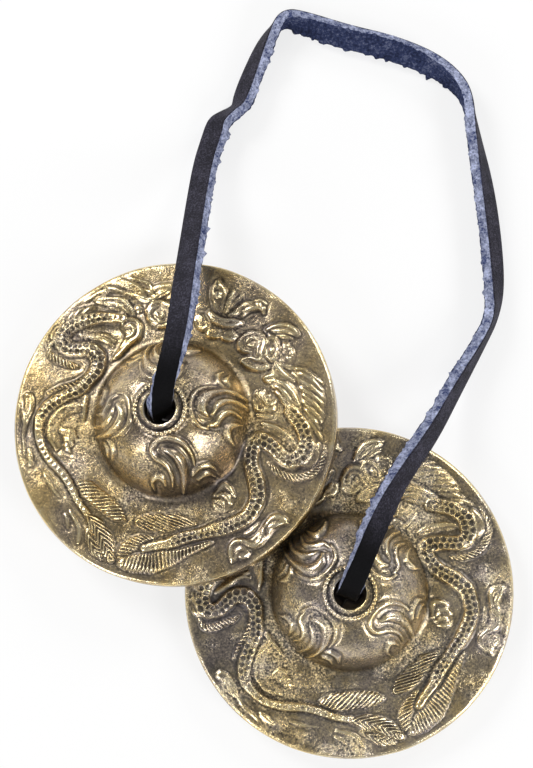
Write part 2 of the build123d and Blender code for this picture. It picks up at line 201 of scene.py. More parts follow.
# Low plates that carry groups of strokes: height, half widths, points.
PLATES = (
    (0.28, (0.5, 0.8, 0.8, 0.4), ((-18, 25.3), (-16.4, 26), (-14.6, 26.4), (-13.2, 26.6))),
    (0.28, (0.3, 0.7, 0.75, 0.5), ((-15.4, 27.8), (-13.4, 27.2), (-11.4, 26.6), (-10, 26))),
    (0.28, (0.4, 0.8, 0.9, 0.7, 0.4),
     ((-13, 29), (-10.8, 28.4), (-8.8, 27.7), (-7, 26.6), (-6, 25.6))),
    (0.3, (0.4, 0.9, 1.1, 0.9, 0.4),
     ((-15.5, 24.7), (-13, 24.6), (-11, 24), (-9.6, 23), (-8.4, 21.9))),
    (0.3, (0.6, 1.0, 0.8), ((-4.6, 26.9), (-2.8, 27.2), (-0.8, 27.4))),
    (0.34, (2.5, 2.7, 2.0, 1.2), ((-3.3, 21.6), (-2.4, 21.4), (0.4, 22.4), (2.6, 23.8))),
    (0.3, (1.6, 1.9, 1.5, 0.8, 0.5),
     ((-9.3, 19.6), (-8.5, 18.5), (-8.7, 17), (-10, 15.3), (-11.8, 13))),
    (0.34, (2.2, 2.5, 2.0, 1.4), ((15.6, 15.2), (16.4, 14.6), (17.2, 12.8), (17.6, 11.2))),
    (0.3, (0.5, 0.9, 0.9, 0.6), ((14, 11.5), (15.5, 11), (17.2, 10.6), (19, 10.8))),
    (0.38, (1.4, 1.5, 1.3), ((19.6, 14.6), (19.9, 13.4), (20, 12.2))),
    (0.36, (1.2, 1.7, 1.6, 0.8), ((22.3, 14.2), (22.7, 13), (22.4, 11.8), (21.6, 10.8))),
    (0.26, (0.4, 0.9, 1.1, 1.0, 0.4), ((19, 17.6), (20.6, 18), (22.4, 17.9), (24, 17.4), (25, 16.6))),
    (0.32, (0.8, 1.3, 1.6, 1.8, 1.4), ((20.2, 10.6), (21, 8.8), (21.8, 6.9), (23, 4.8), (24.2, 2.4))),
    (0.26, (0.6, 1.6, 2.2, 2.0, 1.2), ((25, 9.6), (26.6, 7.4), (27.8, 4.4), (28.2, 1.2), (28, -1.6))),
    (0.3, (0.5, 0.6, 0.4), ((18.4, 8), (19.6, 8), (20.8, 8.1))),
    (0.38, (0.7, 1.3, 1.2, 0.6), ((25.2, -9.1), (27, -8.7), (28.2, -7.2), (28.6, -5.3))),
    (0.34, (1.2, 1.3), ((5.3, 20.4), (6.2, 19.4))),
    (0.34, (1.0, 1.0), ((7.5, 17.6), (8.7, 17.3))),
    (0.34, (1.0, 1.05), ((10.4, 16.9), (11.7, 16.9))),
    (0.38, (0.4, 0.8, 0.9, 0.8, 0.4),
     ((7.2, 21.6), (8.5, 20.2), (10.2, 19.5), (12, 19.3), (13.6, 19.4))),
    (0.32, (0.5, 0.95, 1.0, 0.8, 0.5),
     ((8.8, 28), (8.9, 26.6), (9.1, 25.2), (9.1, 23.6), (9.3, 22.2))),
    (0.28, (0.3, 0.6, 0.6, 0.4), ((11.9, 26.2), (11.4, 24.8), (11, 23.4), (10.6, 22))),
    (0.32, (0.4, 0.8, 1.0, 0.9, 0.4),
     ((11.6, 21.2), (13.2, 22), (14.8, 22.7), (16.4, 22.8), (18, 22.4))),
    (0.2, (1.5, 2.0, 1.7), ((10.6, -14.2), (10.4, -15.5), (9.8, -16.8))),
    (0.2, (0.7, 1.2, 1.0), ((17.3, 4.8), (18.2, 3.4), (19.4, 2.4))),
    (0.34, (0.7, 1.0, 1.2, 1.1, 1.1, 1.2, 1.0, 0.6),
     ((12.4, -27), (12.7, -25.2), (14.4, -24.7), (16.4, -24.3), (18, -23), (19.2, -21.4),
      (20.6, -20.3), (22.4, -20.2))),
    (0.3, (0.9, 0.9), ((13.9, -26.8), (14.8, -26.7))),
    (0.24, (0.5, 1.0, 1.1, 1.0, 0.7),
     ((-19, 2.6), (-21.6, 2.3), (-23.6, 0.6), (-24.2, -2), (-23.4, -4.6))),
    (0.3, (0.6, 1.1, 1.0, 0.5), ((-22.4, -1.4), (-21.3, -2.4), (-21, -3.8), (-21.4, -5.2))),
    (0.3, (0.5, 0.9, 0.9, 0.5), ((-30, 5.6), (-29.7, 4.2), (-29.6, 2.4), (-30, 0.6))),
    (0.3, (0.4, 0.6, 0.5), ((-29, -5.7), (-28.8, -7), (-28.5, -8.4))),
    (0.18, (0.5, 0.9, 1.0, 0.9, 0.5),
     ((-16.5, 23.2), (-19, 22.6), (-22, 21), (-24.2, 18.6), (-24.9, 16.4))),
    (0.22, (0.4, 0.7, 0.7, 0.4), ((-19.2, 17.7), (-16.5, 17.4), (-14, 17.2), (-12.2, 16.3))),
    (0.2, (0.5, 0.9, 0.9, 0.5), ((18.2, -1.4), (20.6, -2.2), (22.8, -3.9), (24.4, -5.4))),
)
# Ribbed fins and leaves: height, distance of the ribs, their slants left and right of the stroke,
# half widths, points.
RIBBED = (
    (0.5, 0.7, -1.05, -1.05, (0.4, 1.5, 1.65, 1.6, 1.3, 0.3),
     ((-19, -11.8), (-17, -13.3), (-14.8, -15.2), (-12.5, -17), (-10.7, -18.5), (-9.3, -19.7))),
    (0.5, 0.6, -1.9, 1.9, (0.6, 1.5, 1.7, 1.6, 0.7),
     ((-16.8, -18.6), (-15, -20.7), (-13.6, -23), (-12.6, -25.2), (-11.9, -27.3))),
    (0.4, 0.6, -2.2, 2.2, (0.3, 0.9, 1.0, 0.4),
     ((-16.8, -21.2), (-16, -23.4), (-15.2, -25.4), (-13.6, -27.2))),
    (0.34, 0.58, 2.1, 2.1, (0.9, 1.5, 1.7, 1.5, 0.9, 0.2),
     ((-6.4, -20.3), (-4.6, -20.3), (-2, -20.4), (0.8, -20.3), (3, -20.2), (5, -20.4))),
    (0.46, 0.72, -0.25, -0.25, (1.0, 1.7, 1.8, 1.5, 1.0, 0.6, 0.25),
     ((-9.6, -28), (-7, -28.2), (-3.6, -28.1), (-0.6, -27.3), (2.4, -26.3), (5.2, -25.2), (8.4, -24.2))),
    (0.42, 0.62, 0.8, 0.8, (0.6, 1.2, 1.1, 0.7, 0.2),
     ((-10.4, -26.8), (-9, -25.4), (-7.4, -24.2), (-5.6, -23.3), (-3.4, -23.2))),
    (0.42, 0.66, 0.6, 0.6, (0.3, 0.6, 0.7, 0.7, 0.6, 0.2),
     ((-25.4, 16), (-25.5, 14.4), (-24.4, 13.2), (-22.6, 12.3), (-20.8, 11.6), (-19.3, 11.4))),
    (0.3, 0.7, 0.6, 0.6, (0.2, 0.45, 0.45, 0.2), ((-25.5, 5.9), (-23, 7), (-20.5, 7.7), (-18.2, 9.2))),
    (0.44, 0.6, 1.0, 1.0, (0.2, 0.55, 0.65, 0.7, 0.7, 0.65, 0.5, 0.3),
     ((19.3, -9), (20.8, -10.4), (22.5, -11.3), (24.5, -11.8), (26.6, -11.5), (28.4, -10.4),
      (29.7, -8.6), (30.3, -6.2))),
)
# Sunk lines and hollows: depth, half widths, points.
HOLLOWS = (
    (0.24, (0.15, 0.4, 0.4, 0.35, 0.15),
     ((16.9, 1.5), (15.4, -2.5), (14, -6.8), (12, -10.6), (9.2, -13.2))),
    (0.15, (0.1, 0.25, 0.1), ((7.4, -18.6), (10, -18.7), (12.8, -17.8))),
    (0.15, (0.1, 0.25, 0.25, 0.1), ((17.6, -7.4), (18.4, -10.4), (19.4, -14), (18.8, -17.2))),
    (0.2, (0.2, 0.35, 0.2), ((-7.4, -18.2), (-6.9, -20.4), (-6.4, -22.2))),
    (0.16, (0.4, 1.2, 1.2, 0.6), ((-20.6, 18), (-18, 18.8), (-14, 18.9), (-11.4, 18.6))),
    (0.15, (0.4, 1.0, 0.8, 0.4), ((20.5, -3.8), (22.5, -4.8), (24, -5.6), (24.8, -4.2))),
    (0.16, (0.2, 0.5, 0.5, 0.3), ((-20, 2.4), (-22.4, 1), (-22.9, -1), (-22.4, -3))),
)
# Plain ridges: height, half widths, points.
RIDGES = (
    # Left dragon: head, crest, locks and fins
    (0.5, (0.3, 0.55, 0.6, 0.6, 0.55, 0.3),
     ((-9.6, 26.3), (-7.6, 25.6), (-6, 24.9), (-4.5, 24.9), (-3.2, 25.8), (-1.4, 26.4))),
    (0.4, (0.2, 0.5, 0.4), ((-6, 26.9), (-4.6, 26), (-3.6, 25.4))),
    (0.5, (0.5, 0.55, 0.6, 0.55, 0.5, 0.4, 0.3),
     ((-5.6, 22.4), (-4.2, 24), (-2.4, 24.2), (-0.4, 23), (-0.2, 21.2), (-1.4, 19.4), (-3.2, 18.9))),
    (0.5, (0.3, 0.5, 0.55, 0.5, 0.3),
     ((-3.4, 23.2), (-4.9, 22.2), (-4.9, 20.8), (-3.6, 19.9), (-2.2, 20))),
    (0.4, (0.3, 0.5, 0.3), ((-3.4, 21.6), (-2.8, 20.9), (-2, 21.4))),
    (0.45, (0.3, 0.5, 0.5, 0.4, 0.2),
     ((-16.2, 24.8), (-13.4, 25.3), (-10.6, 25), (-9.2, 23.6), (-8.2, 22))),
    (0.4, (0.2, 0.4, 0.4, 0.3), ((-14.4, 24.3), (-12, 24), (-10.6, 23.2), (-9.4, 22.2))),
    (0.4, (0.2, 0.4, 0.3), ((-13.4, 23.3), (-11.6, 22.9), (-10, 21.9))),
    (0.34, (0.2, 0.5, 0.4), ((-17.8, 25.7), (-16.2, 26.5), (-14.4, 26.9))),
    (0.34, (0.2, 0.45, 0.3), ((-14.6, 27.9), (-12.6, 27.4), (-10.6, 26.6))),
    (0.34, (0.2, 0.45, 0.4, 0.3), ((-12.6, 29.2), (-10.2, 28.8), (-8, 27.9), (-6.4, 26.6))),
    (0.3, (0.2, 0.4, 0.2), ((-11.4, 28.1), (-9.4, 27.6), (-7.8, 26.6))),
    (0.36, (0.15, 0.35, 0.15), ((-12, 30), (-9.4, 29.6), (-6.6, 28.6))),
    (0.3, (0.15, 0.35, 0.15), ((-7.2, 29), (-5.6, 28.2), (-4.6, 27.4))),
    (0.3, (0.2, 0.45, 0.2), ((-16.6, 23.9), (-17.6, 23.3), (-18.4, 22.4))),
    (0.3, (0.2, 0.45, 0.2), ((-18.7, 23.4), (-19.6, 22.6), (-20.3, 21.6))),
    (0.3, (0.2, 0.45, 0.2), ((-20.8, 22.4), (-21.6, 21.4), (-22, 20.4))),
    (0.3, (0.2, 0.45, 0.2), ((-22.8, 21), (-23.5, 20), (-23.7, 18.9))),
    (0.3, (0.2, 0.45, 0.2), ((-24.6, 19.3), (-25, 18.2), (-24.9, 17.2))),
    # Left dragon: fore claw and legs
    (0.45, (0.3, 0.5, 0.5, 0.5, 0.5, 0.4),
     ((-10.5, 19.9), (-9.1, 20.8), (-7.4, 20.2), (-6.8, 18.7), (-7.2, 17), (-8.6, 15.9))),
    (0.45, (0.25, 0.45, 0.45, 0.4, 0.25),
     ((-9.6, 19), (-8.6, 19.3), (-8, 18.4), (-8.6, 17.3), (-9.9, 17))),
    (0.4, (0.3, 0.5, 0.5, 0.25), ((-8.6, 15.6), (-9.9, 14.6), (-11.2, 13.4), (-12.6, 12.3))),
    (0.3, (0.2, 0.45, 0.4, 0.2), ((-19, 17.4), (-15.6, 17), (-13.4, 16.3), (-12.4, 15.2))),
    (0.4, (0.5, 0.5, 0.2), ((-17.5, 5), (-17.8, 3), (-18.2, 0.4))),
    (0.34, (0.3, 0.5, 0.5, 0.5, 0.45, 0.2),
     ((-17.5, 3.3), (-20.2, 3.4), (-23.2, 2.4), (-24.8, 0), (-24.9, -3), (-23.4, -5.6))),
    (0.34, (0.2, 0.45, 0.45, 0.3), ((-22.8, -1.9), (-21.4, -1.5), (-20.2, -1.7), (-19.7, -3.2))),
    (0.34, (0.2, 0.45, 0.3), ((-22, -3.4), (-20.8, -3.4), (-20.2, -4.6))),
    (0.3, (0.2, 0.4, 0.2), ((-22, -4.7), (-21, -5), (-20.6, -6))),
    (0.34, (0.2, 0.4, 0.4, 0.4, 0.35, 0.35, 0.4, 0.25),
     ((-30.4, 5.9), (-29.2, 5.8), (-28.7, 4.2), (-28.9, 2.2), (-29.8, 0.4), (-30.3, -2),
      (-30.2, -4.5), (-30, -6.4))),
    (0.3, (0.2, 0.35, 0.35, 0.2), ((-31, 4.8), (-30.9, 3), (-30.6, 1.4), (-30.2, 0))),
    (0.3, (0.2, 0.4, 0.3), ((-29, -5.4), (-28.5, -6.8), (-28.6, -8.3))),
    (0.4, (0.2, 0.4, 0.4, 0.2), ((-20.2, -18), (-19, -20), (-18.3, -22), (-18.5, -24.2))),
    (0.3, (0.15, 0.35, 0.15), ((-25.8, -10.4), (-24.4, -12.6), (-22.6, -14.8))),
    (0.3, (0.15, 0.35, 0.15), ((-21.2, -18.4), (-20.8, -20), (-20.7, -21.2))),
    # Right dragon: muzzle, rings and jaw
    (0.45, (0.3, 0.5, 0.55, 0.5, 0.3),
     ((14.2, 16.9), (13.3, 15.7), (13.4, 14.4), (14.3, 13.5), (15.6, 13.3))),
    (0.55, (0.3, 0.5, 0.6, 0.65, 0.6, 0.5, 0.3),
     ((14.2, 16.9), (15.6, 17.4), (17.2, 17.2), (18.3, 16.1), (18.4, 14.6), (17.9, 13.2),
      (17.8, 12.2))),
    (0.45, (0.3, 0.45, 0.5, 0.45, 0.4, 0.25),
     ((14.6, 15.4), (15.5, 16.3), (16.8, 16.1), (17.4, 15), (17.1, 13.8), (17, 12.8))),
    (0.35, (0.3, 0.4, 0.3), ((15.4, 14.6), (16.2, 14.4), (16.4, 15.1))),
    (0.45, (0.25, 0.4, 0.45, 0.4, 0.25),
     ((13.8, 12), (15, 12.2), (16.5, 11.9), (18, 11.7), (18.6, 11.2))),
    (0.5, (0.25, 0.45, 0.5, 0.45, 0.25),
     ((13.9, 11.4), (15, 10.4), (16.6, 9.9), (18.2, 9.9), (19.2, 10.6))),
    (0.5, (0.3, 0.45, 0.45, 0.45, 0.45, 0.45, 0.45, 0.3),
     ((18.5, 14.6), (19, 16), (20.2, 16), (21, 14.6), (20.9, 12.8), (19.9, 11.7), (18.8, 12.4),
      (18.5, 14))),
    (0.4, (0.2, 0.4, 0.25), ((19.2, 16.9), (20.3, 16.4), (21.1, 15.4))),
    (0.5, (0.3, 0.55, 0.6, 0.5, 0.2),
     ((18.8, 17.9), (20.4, 18.7), (22.2, 18.9), (23.8, 18.2), (24.8, 16.9))),
    (0.36, (0.2, 0.45, 0.4, 0.15), ((19.8, 17.4), (21.6, 17.6), (23.2, 17.4), (24.4, 16.6))),
    (0.36, (0.2, 0.4, 0.15), ((20.8, 16.7), (22.6, 16.4), (24, 15.8))),
    # Right dragon: neck, mane and wing
    (0.5, (0.3, 0.5, 0.55, 0.5, 0.25),
     ((20.3, 11.8), (20.7, 10.4), (21.8, 9.2), (23, 8.2), (24.2, 7.4))),
    (0.4, (0.3, 0.4, 0.2), ((21.6, 10.6), (23.8, 10.1), (26, 9.8))),
    (0.4, (0.25, 0.45, 0.25), ((18.3, 8.2), (19.6, 8.5), (21, 8.3))),
    (0.36, (0.2, 0.4, 0.25), ((18.5, 7.4), (19.6, 7.3), (20.6, 7.6))),
    (0.45, (0.25, 0.5, 0.55, 0.5, 0.2),
     ((20.9, 7.4), (22.2, 6.8), (23.4, 5.4), (24.5, 3.9), (25.3, 2.4))),
    (0.45, (0.25, 0.5, 0.55, 0.5, 0.2),
     ((19.7, 6.5), (21, 6.1), (22.2, 4.9), (23.3, 3.4), (24, 2.2))),
    (0.4, (0.2, 0.45, 0.4, 0.2), ((20.4, 5.4), (21.6, 4), (22.5, 2.7), (23.2, 1.4))),
    (0.4, (0.2, 0.45, 0.2), ((24, 9), (24.8, 8), (25.2, 6.8))),
    (0.36, (0.25, 0.42, 0.12), ((25.6, 8.8), (27.6, 7.6), (29.8, 5.4))),
    (0.36, (0.25, 0.42, 0.12), ((25.3, 7.4), (27.4, 6.2), (29.9, 3.9))),
    (0.36, (0.25, 0.42, 0.12), ((25.4, 6), (27.5, 4.6), (29.9, 2.4))),
    (0.36, (0.25, 0.42, 0.12), ((26, 4.6), (27.8, 3), (29.8, 0.9))),
    (0.36, (0.25, 0.42, 0.12), ((26, 3.2), (27.6, 1.5), (29.6, -0.6))),
    (0.36, (0.2, 0.4, 0.12), ((26.2, 9.8), (28.2, 8.1), (30, 6.6))),
    (0.36, (0.2, 0.4, 0.12), ((26.4, 1.6), (28, -0.4), (29.4, -2.4))),
    (0.34, (0.2, 0.4, 0.12), ((27.4, -1), (28.8, -2.8), (29.6, -4.6))),
    (0.3, (0.2, 0.5, 0.45, 0.2), ((18, -1), (20.4, -1.7), (22.8, -3.4), (24.4, -5.2))),
    # Clouds and scrolls
    (0.4, (0.3, 0.45, 0.5, 0.45, 0.25),
     ((8.5, -15), (9.4, -13.9), (10.4, -12.9), (11.4, -13.4), (12.4, -15.2))),
    (0.4, (0.25, 0.42, 0.42, 0.25), ((9.2, -15), (10.3, -14.8), (11.3, -15.6), (11.8, -16.7))),
    (0.4, (0.2, 0.42, 0.25), ((8.5, -15.9), (9.6, -16.2), (10.4, -17.1))),
    (0.36, (0.2, 0.4, 0.2), ((8.3, -16.8), (8.8, -17.5), (9.6, -17.9))),
    (0.4, (0.35, 0.42, 0.4, 0.35), ((16.4, 3.6), (16.9, 1.8), (18.4, 1.7), (20.2, 2))),
    (0.4, (0.35, 0.42, 0.4, 0.35), ((18, 5.6), (18.4, 3.4), (19.4, 3), (20.5, 3.6))),
    (0.3, (0.3, 0.4, 0.3), ((17, 0.7), (18.2, 0.5), (19.6, 0.3))),
    (0.42, (0.25, 0.45, 0.5, 0.5, 0.45, 0.5, 0.5, 0.45, 0.25),
     ((12.1, -28), (11.6, -26.3), (11.8, -24.7), (12.9, -23.9), (14.3, -24.1), (15.6, -24.7),
      (17, -24.6), (18, -23.4), (18.3, -22))),
    (0.42, (0.3, 0.5, 0.5, 0.3), ((12.8, -27.6), (13.3, -26.3), (14.3, -25.7), (15.5, -26.3))),
    (0.42, (0.25, 0.5, 0.55, 0.5, 0.25),
     ((18.6, -21.4), (19.4, -19.8), (20.8, -19.2), (22.2, -19.6), (22.9, -20.5))),
    (0.42, (0.25, 0.5, 0.5, 0.25), ((19.3, -22.4), (19.6, -21.3), (20.8, -20.8), (22, -20.5))),
    (0.3, (0.3, 0.5, 0.3), ((14.8, -22.7), (16.2, -21.9), (17.4, -20.8))),
    # Lotus dish with its jewel
    (0.42, (0.25, 0.42, 0.45, 0.45, 0.3),
     ((7.3, 22), (8.3, 21), (10, 20.1), (12, 19.9), (13.5, 19.5))),
    (0.42, (0.25, 0.42, 0.45, 0.42, 0.25),
     ((6.9, 21.3), (8.2, 19.8), (10, 19), (11.8, 18.8), (13.1, 19))),
    (0.42, (0.25, 0.45, 0.45, 0.45, 0.25),
     ((11, 21), (12.3, 21.4), (13.2, 22.5), (14.4, 23.5), (15.8, 23.6))),
    (0.42, (0.25, 0.42, 0.45, 0.42, 0.25),
     ((13.6, 20.9), (14.8, 21.9), (16.2, 22.4), (17.6, 22.3), (18.1, 21.4))),
    (0.36, (0.25, 0.4, 0.25), ((14.2, 22.7), (15.2, 23), (16.2, 22.9))),
    (0.36, (0.25, 0.4, 0.25), ((16.2, 23.9), (17.4, 24), (18.4, 23.2))),
    (0.38, (0.2, 0.42, 0.42, 0.25), ((12, 25.9), (11.2, 23.9), (10.5, 22.5), (10, 21.6))),
    (0.36, (0.2, 0.4, 0.3), ((13.8, 25.3), (12.7, 24.2), (11.8, 23))),
    (0.36, (0.2, 0.42, 0.4, 0.4, 0.3),
     ((8.8, 28.3), (7.9, 27), (7.8, 25.3), (8.2, 23.6), (8.6, 22.2))),
    (0.36, (0.2, 0.4, 0.4, 0.3), ((9.2, 28), (10.1, 26.3), (10.3, 24.6), (9.8, 22.8))),
    (0.34, (0.25, 0.4, 0.35, 0.2), ((4.2, 20.3), (4.8, 18.8), (6, 18.2), (7, 18.8))),
    (0.34, (0.25, 0.4, 0.35, 0.2), ((6.6, 17.4), (7.4, 16.6), (8.7, 16.5), (9.6, 17.2))),
    (0.34, (0.25, 0.4, 0.35, 0.2), ((9.6, 16.6), (10.6, 16), (11.9, 16.1), (12.8, 17))),
)
# Domed lobes: height, x, y, half length, half width, turn in degrees.
LOBES = (
    (0.55, 8.9, 25.2, 0.8, 0.8, 0),
    (0.4, 8.9, 27.2, 0.8, 0.5, 60),
    (0.45, 19.8, 13.5, 0.5, 1.0, 0),
    (0.45, -7.3, 23, 0.85, 0.8, 20),
    (0.35, 23.5, 13.8, 0.4, 0.4, 0),
    (0.35, 23.8, 12.8, 0.4, 0.4, 0),
    (0.35, 23.2, 11.9, 0.4, 0.4, 0),
    (0.4, 21.4, 12.4, 0.45, 0.45, 0),
    (0.4, 21.7, 11.4, 0.45, 0.45, 0),
    (0.4, 18.8, 10.3, 0.5, 0.5, 0),
    (0.35, 19, 4.6, 0.5, 0.4, 0),
    (0.4, 17.2, 23.2, 0.5, 0.5, 0),
    (0.4, 14.3, -26.9, 0.9, 0.7, 0),
)
# The dome's cloud scrolls as ridges, drawn below the hole: one fans out, one curls like an S.
FANNED_SCROLL = (
    (0.34, (0.3, 0.42, 0.48, 0.5, 0.52, 0.5, 0.45, 0.2),
     ((-2.6, -9.2), (-2.4, -7.9), (-1.4, -6.6), (0.4, -5.8), (2.4, -5.6), (4.2, -6.3),
      (5.4, -7.6), (6, -9.4))),
    (0.62, (0.3, 0.75, 1.1, 1.1, 0.85, 0.6, 0.45, 0.15),
     ((-0.2, -8.7), (0.8, -7.7), (2.2, -7.4), (3.7, -8), (4.8, -9.4), (5.4, -11), (5.5, -12.8),
      (5.1, -14.6))),
    (0.48, (0.25, 0.6, 0.7, 0.6, 0.45, 0.15),
     ((0.4, -9.6), (1.9, -10), (3.1, -10.9), (3.7, -12.2), (3.7, -13.5), (3.3, -14.9))),
    (0.46, (0.3, 0.6, 0.65, 0.55, 0.45, 0.15),
     ((-2, -9.2), (-1.4, -10.4), (0, -11), (1.2, -11.8), (1.6, -12.9), (1.2, -14.2))),
    (0.42, (0.2, 0.6, 0.65, 0.55, 0.15),
     ((-4.3, -13.5), (-3.1, -12.6), (-1.6, -12.5), (-0.7, -13.3), (-0.2, -14.4))),
    (0.36, (0.2, 0.55, 0.6, 0.15), ((6.4, -10.6), (7.1, -9.6), (8.4, -9.2), (9.7, -9.8))),
    (0.36, (0.2, 0.5, 0.15), ((6.9, -11.6), (7.9, -10.7), (9.3, -10.8))),
)
CURLED_SCROLL = (
    (0.5, (0.2, 0.5, 0.62, 0.65, 0.65, 0.65, 0.6, 0.6, 0.62, 0.55, 0.45, 0.15),
     ((5.9, -10.2), (5.5, -8.2), (4.4, -6.6), (2.7, -5.7), (0.8, -5.6), (-0.9, -6.3), (-1.7, -7.6),
      (-1.2, -8.9), (0.1, -9.8), (1.1, -10.9), (1.5, -12.4), (1.2, -14))),
    (0.58, (0.3, 0.7, 0.95, 1.05, 0.95, 0.7, 0.5, 0.15),
     ((0.6, -7.6), (1.6, -7.9), (2.7, -8.6), (3.5, -9.7), (3.8, -11), (3.6, -12.4), (3.2, -13.6),
      (2.7, -14.6))),
    (0.42, (0.2, 0.55, 0.65, 0.55, 0.15),
     ((-2.6, -14.2), (-2.5, -13), (-1.4, -12.3), (-0.3, -12.8), (0, -13.9))),
    (0.4, (0.2, 0.5, 0.6, 0.5, 0.15),
     ((5.2, -12), (6.1, -10.9), (7.3, -10.2), (8.6, -10.1), (9.6, -10.8))),
    (0.34, (0.2, 0.45, 0.45, 0.15), ((6, -12.6), (7, -11.8), (8.2, -11.4), (9.2, -11.8))),
)
DOME_SCROLL_PLATE = (0.1, (1.2, 2.8, 2.4, 1.4), ((-0.6, -7.8), (2, -8), (3, -10.5), (3.2, -13.8)))
# The scrolls on the dome: the drawing, its turn about the hole in degrees, the share of its height.
DOME_SCROLLS = (
    (CURLED_SCROLL, 0, 1.15),
    (FANNED_SCROLL, 83, 1.15),
    (FANNED_SCROLL, 173, 0.9),
    (FANNED_SCROLL, 263, 1.05),
)
SCROLL_WIDTH_SHARE = 0.82
SCROLL_OUTLINE = 0.2
SCROLL_PLATE_OUTLINE = 0.03
# Height of the dragons' bodies and length of one of their scales.
BODY_HEIGHT = 0.75
SCALE_LENGTH = 1.2
# The ring of beads round the hole, and the groove outside it.
BEAD_RING = {"radius": 4.8, "count": 38, "size": 0.47, "height": 0.55}
BEAD_GROOVE = {"radius": 5.75, "width": 0.5, "depth": 0.12}
# How a hand strays from the drawing: how far in millimetres, how long its wavers, phases in x and y.
HAND_STRAY = ((0.14, 5.2, 0.3, 2.6), (0.04, 2.0, 1.1, 5.0))
# Marks for the finish: place along and across a dragon's body, its scales, turns of the ribs, ribs.
FINISH_MARKS = ("scale_run", "scale_side", "scale", "rib_turn", "rib")

# Steps round the fillet and the cup, segments of the roundings, cuts across the underside, sectors.
FILLET_STEPS = 7
CUP_STEPS = 12
LIP_SEGMENTS = 2
RIM_SEGMENTS = 4
CUP_SEGMENTS = 3
BASE_CUTS = 5
SECTORS = 16
# How often heights are spread over the mesh: for the swell, for fine wear and for broad wear.
SWELL_ROUNDS = 50
NEAR_ROUNDS = 7
WIDE_ROUNDS = 60
# Distances from the rim, in millimetres, over which the ornament and the swell under it fade in.
RELIEF_FADE = (1.0, 1.8)
SWELL_FADE = (0.6, 2.5)
# Polish of fine and broad heights, of the lip's edge and of the rim; grime on the lip; grime and painted
# shade in the crease at the dome's foot; a slight darkening of the dome.
NEAR_POLISH = 2.5
WIDE_POLISH = 0.5
LIP_POLISH = 0.9
RIM_POLISH = 0.3
LIP_GRIME = 0.45
FOOT_GRIME_AND_SHADE = 0.18
DOME_DARKENING = 0.04


def drawn_line(points, step=0.3):
    """A rounded line through given points, and each sample's share of the way along them."""
    p = np.array(points, float)
    p = np.vstack([2 * p[0] - p[1], p, 2 * p[-1] - p[-2]])
    samples = []
    shares = []
    for i in range(1, len(p) - 2):
        a, b, c, d = p[i - 1 : i + 3]
        count = max(2, int(np.hypot(*(c - b)) / step))
        u = (np.arange(count) / count)[:, None]
        curve = 2 * b + (c - a) * u + (2 * a - 5 * b + 4 * c - d) * u**2
        samples.append((curve + (3 * b - a - 3 * c + d) * u**3) / 2)
        shares.append((i - 1 + u[:, 0]) / (len(points) - 1))
    samples.append(p[-2:-1])
    shares.append([1.0])
    return np.vstack(samples), np.concatenate(shares)


def soft_step(low, high, value):
    """0 below low, 1 above high, and a smooth rise between them."""
    t = np.clip((value - low) / (high - low), 0, 1)
    return t * t * (3 - 2 * t)


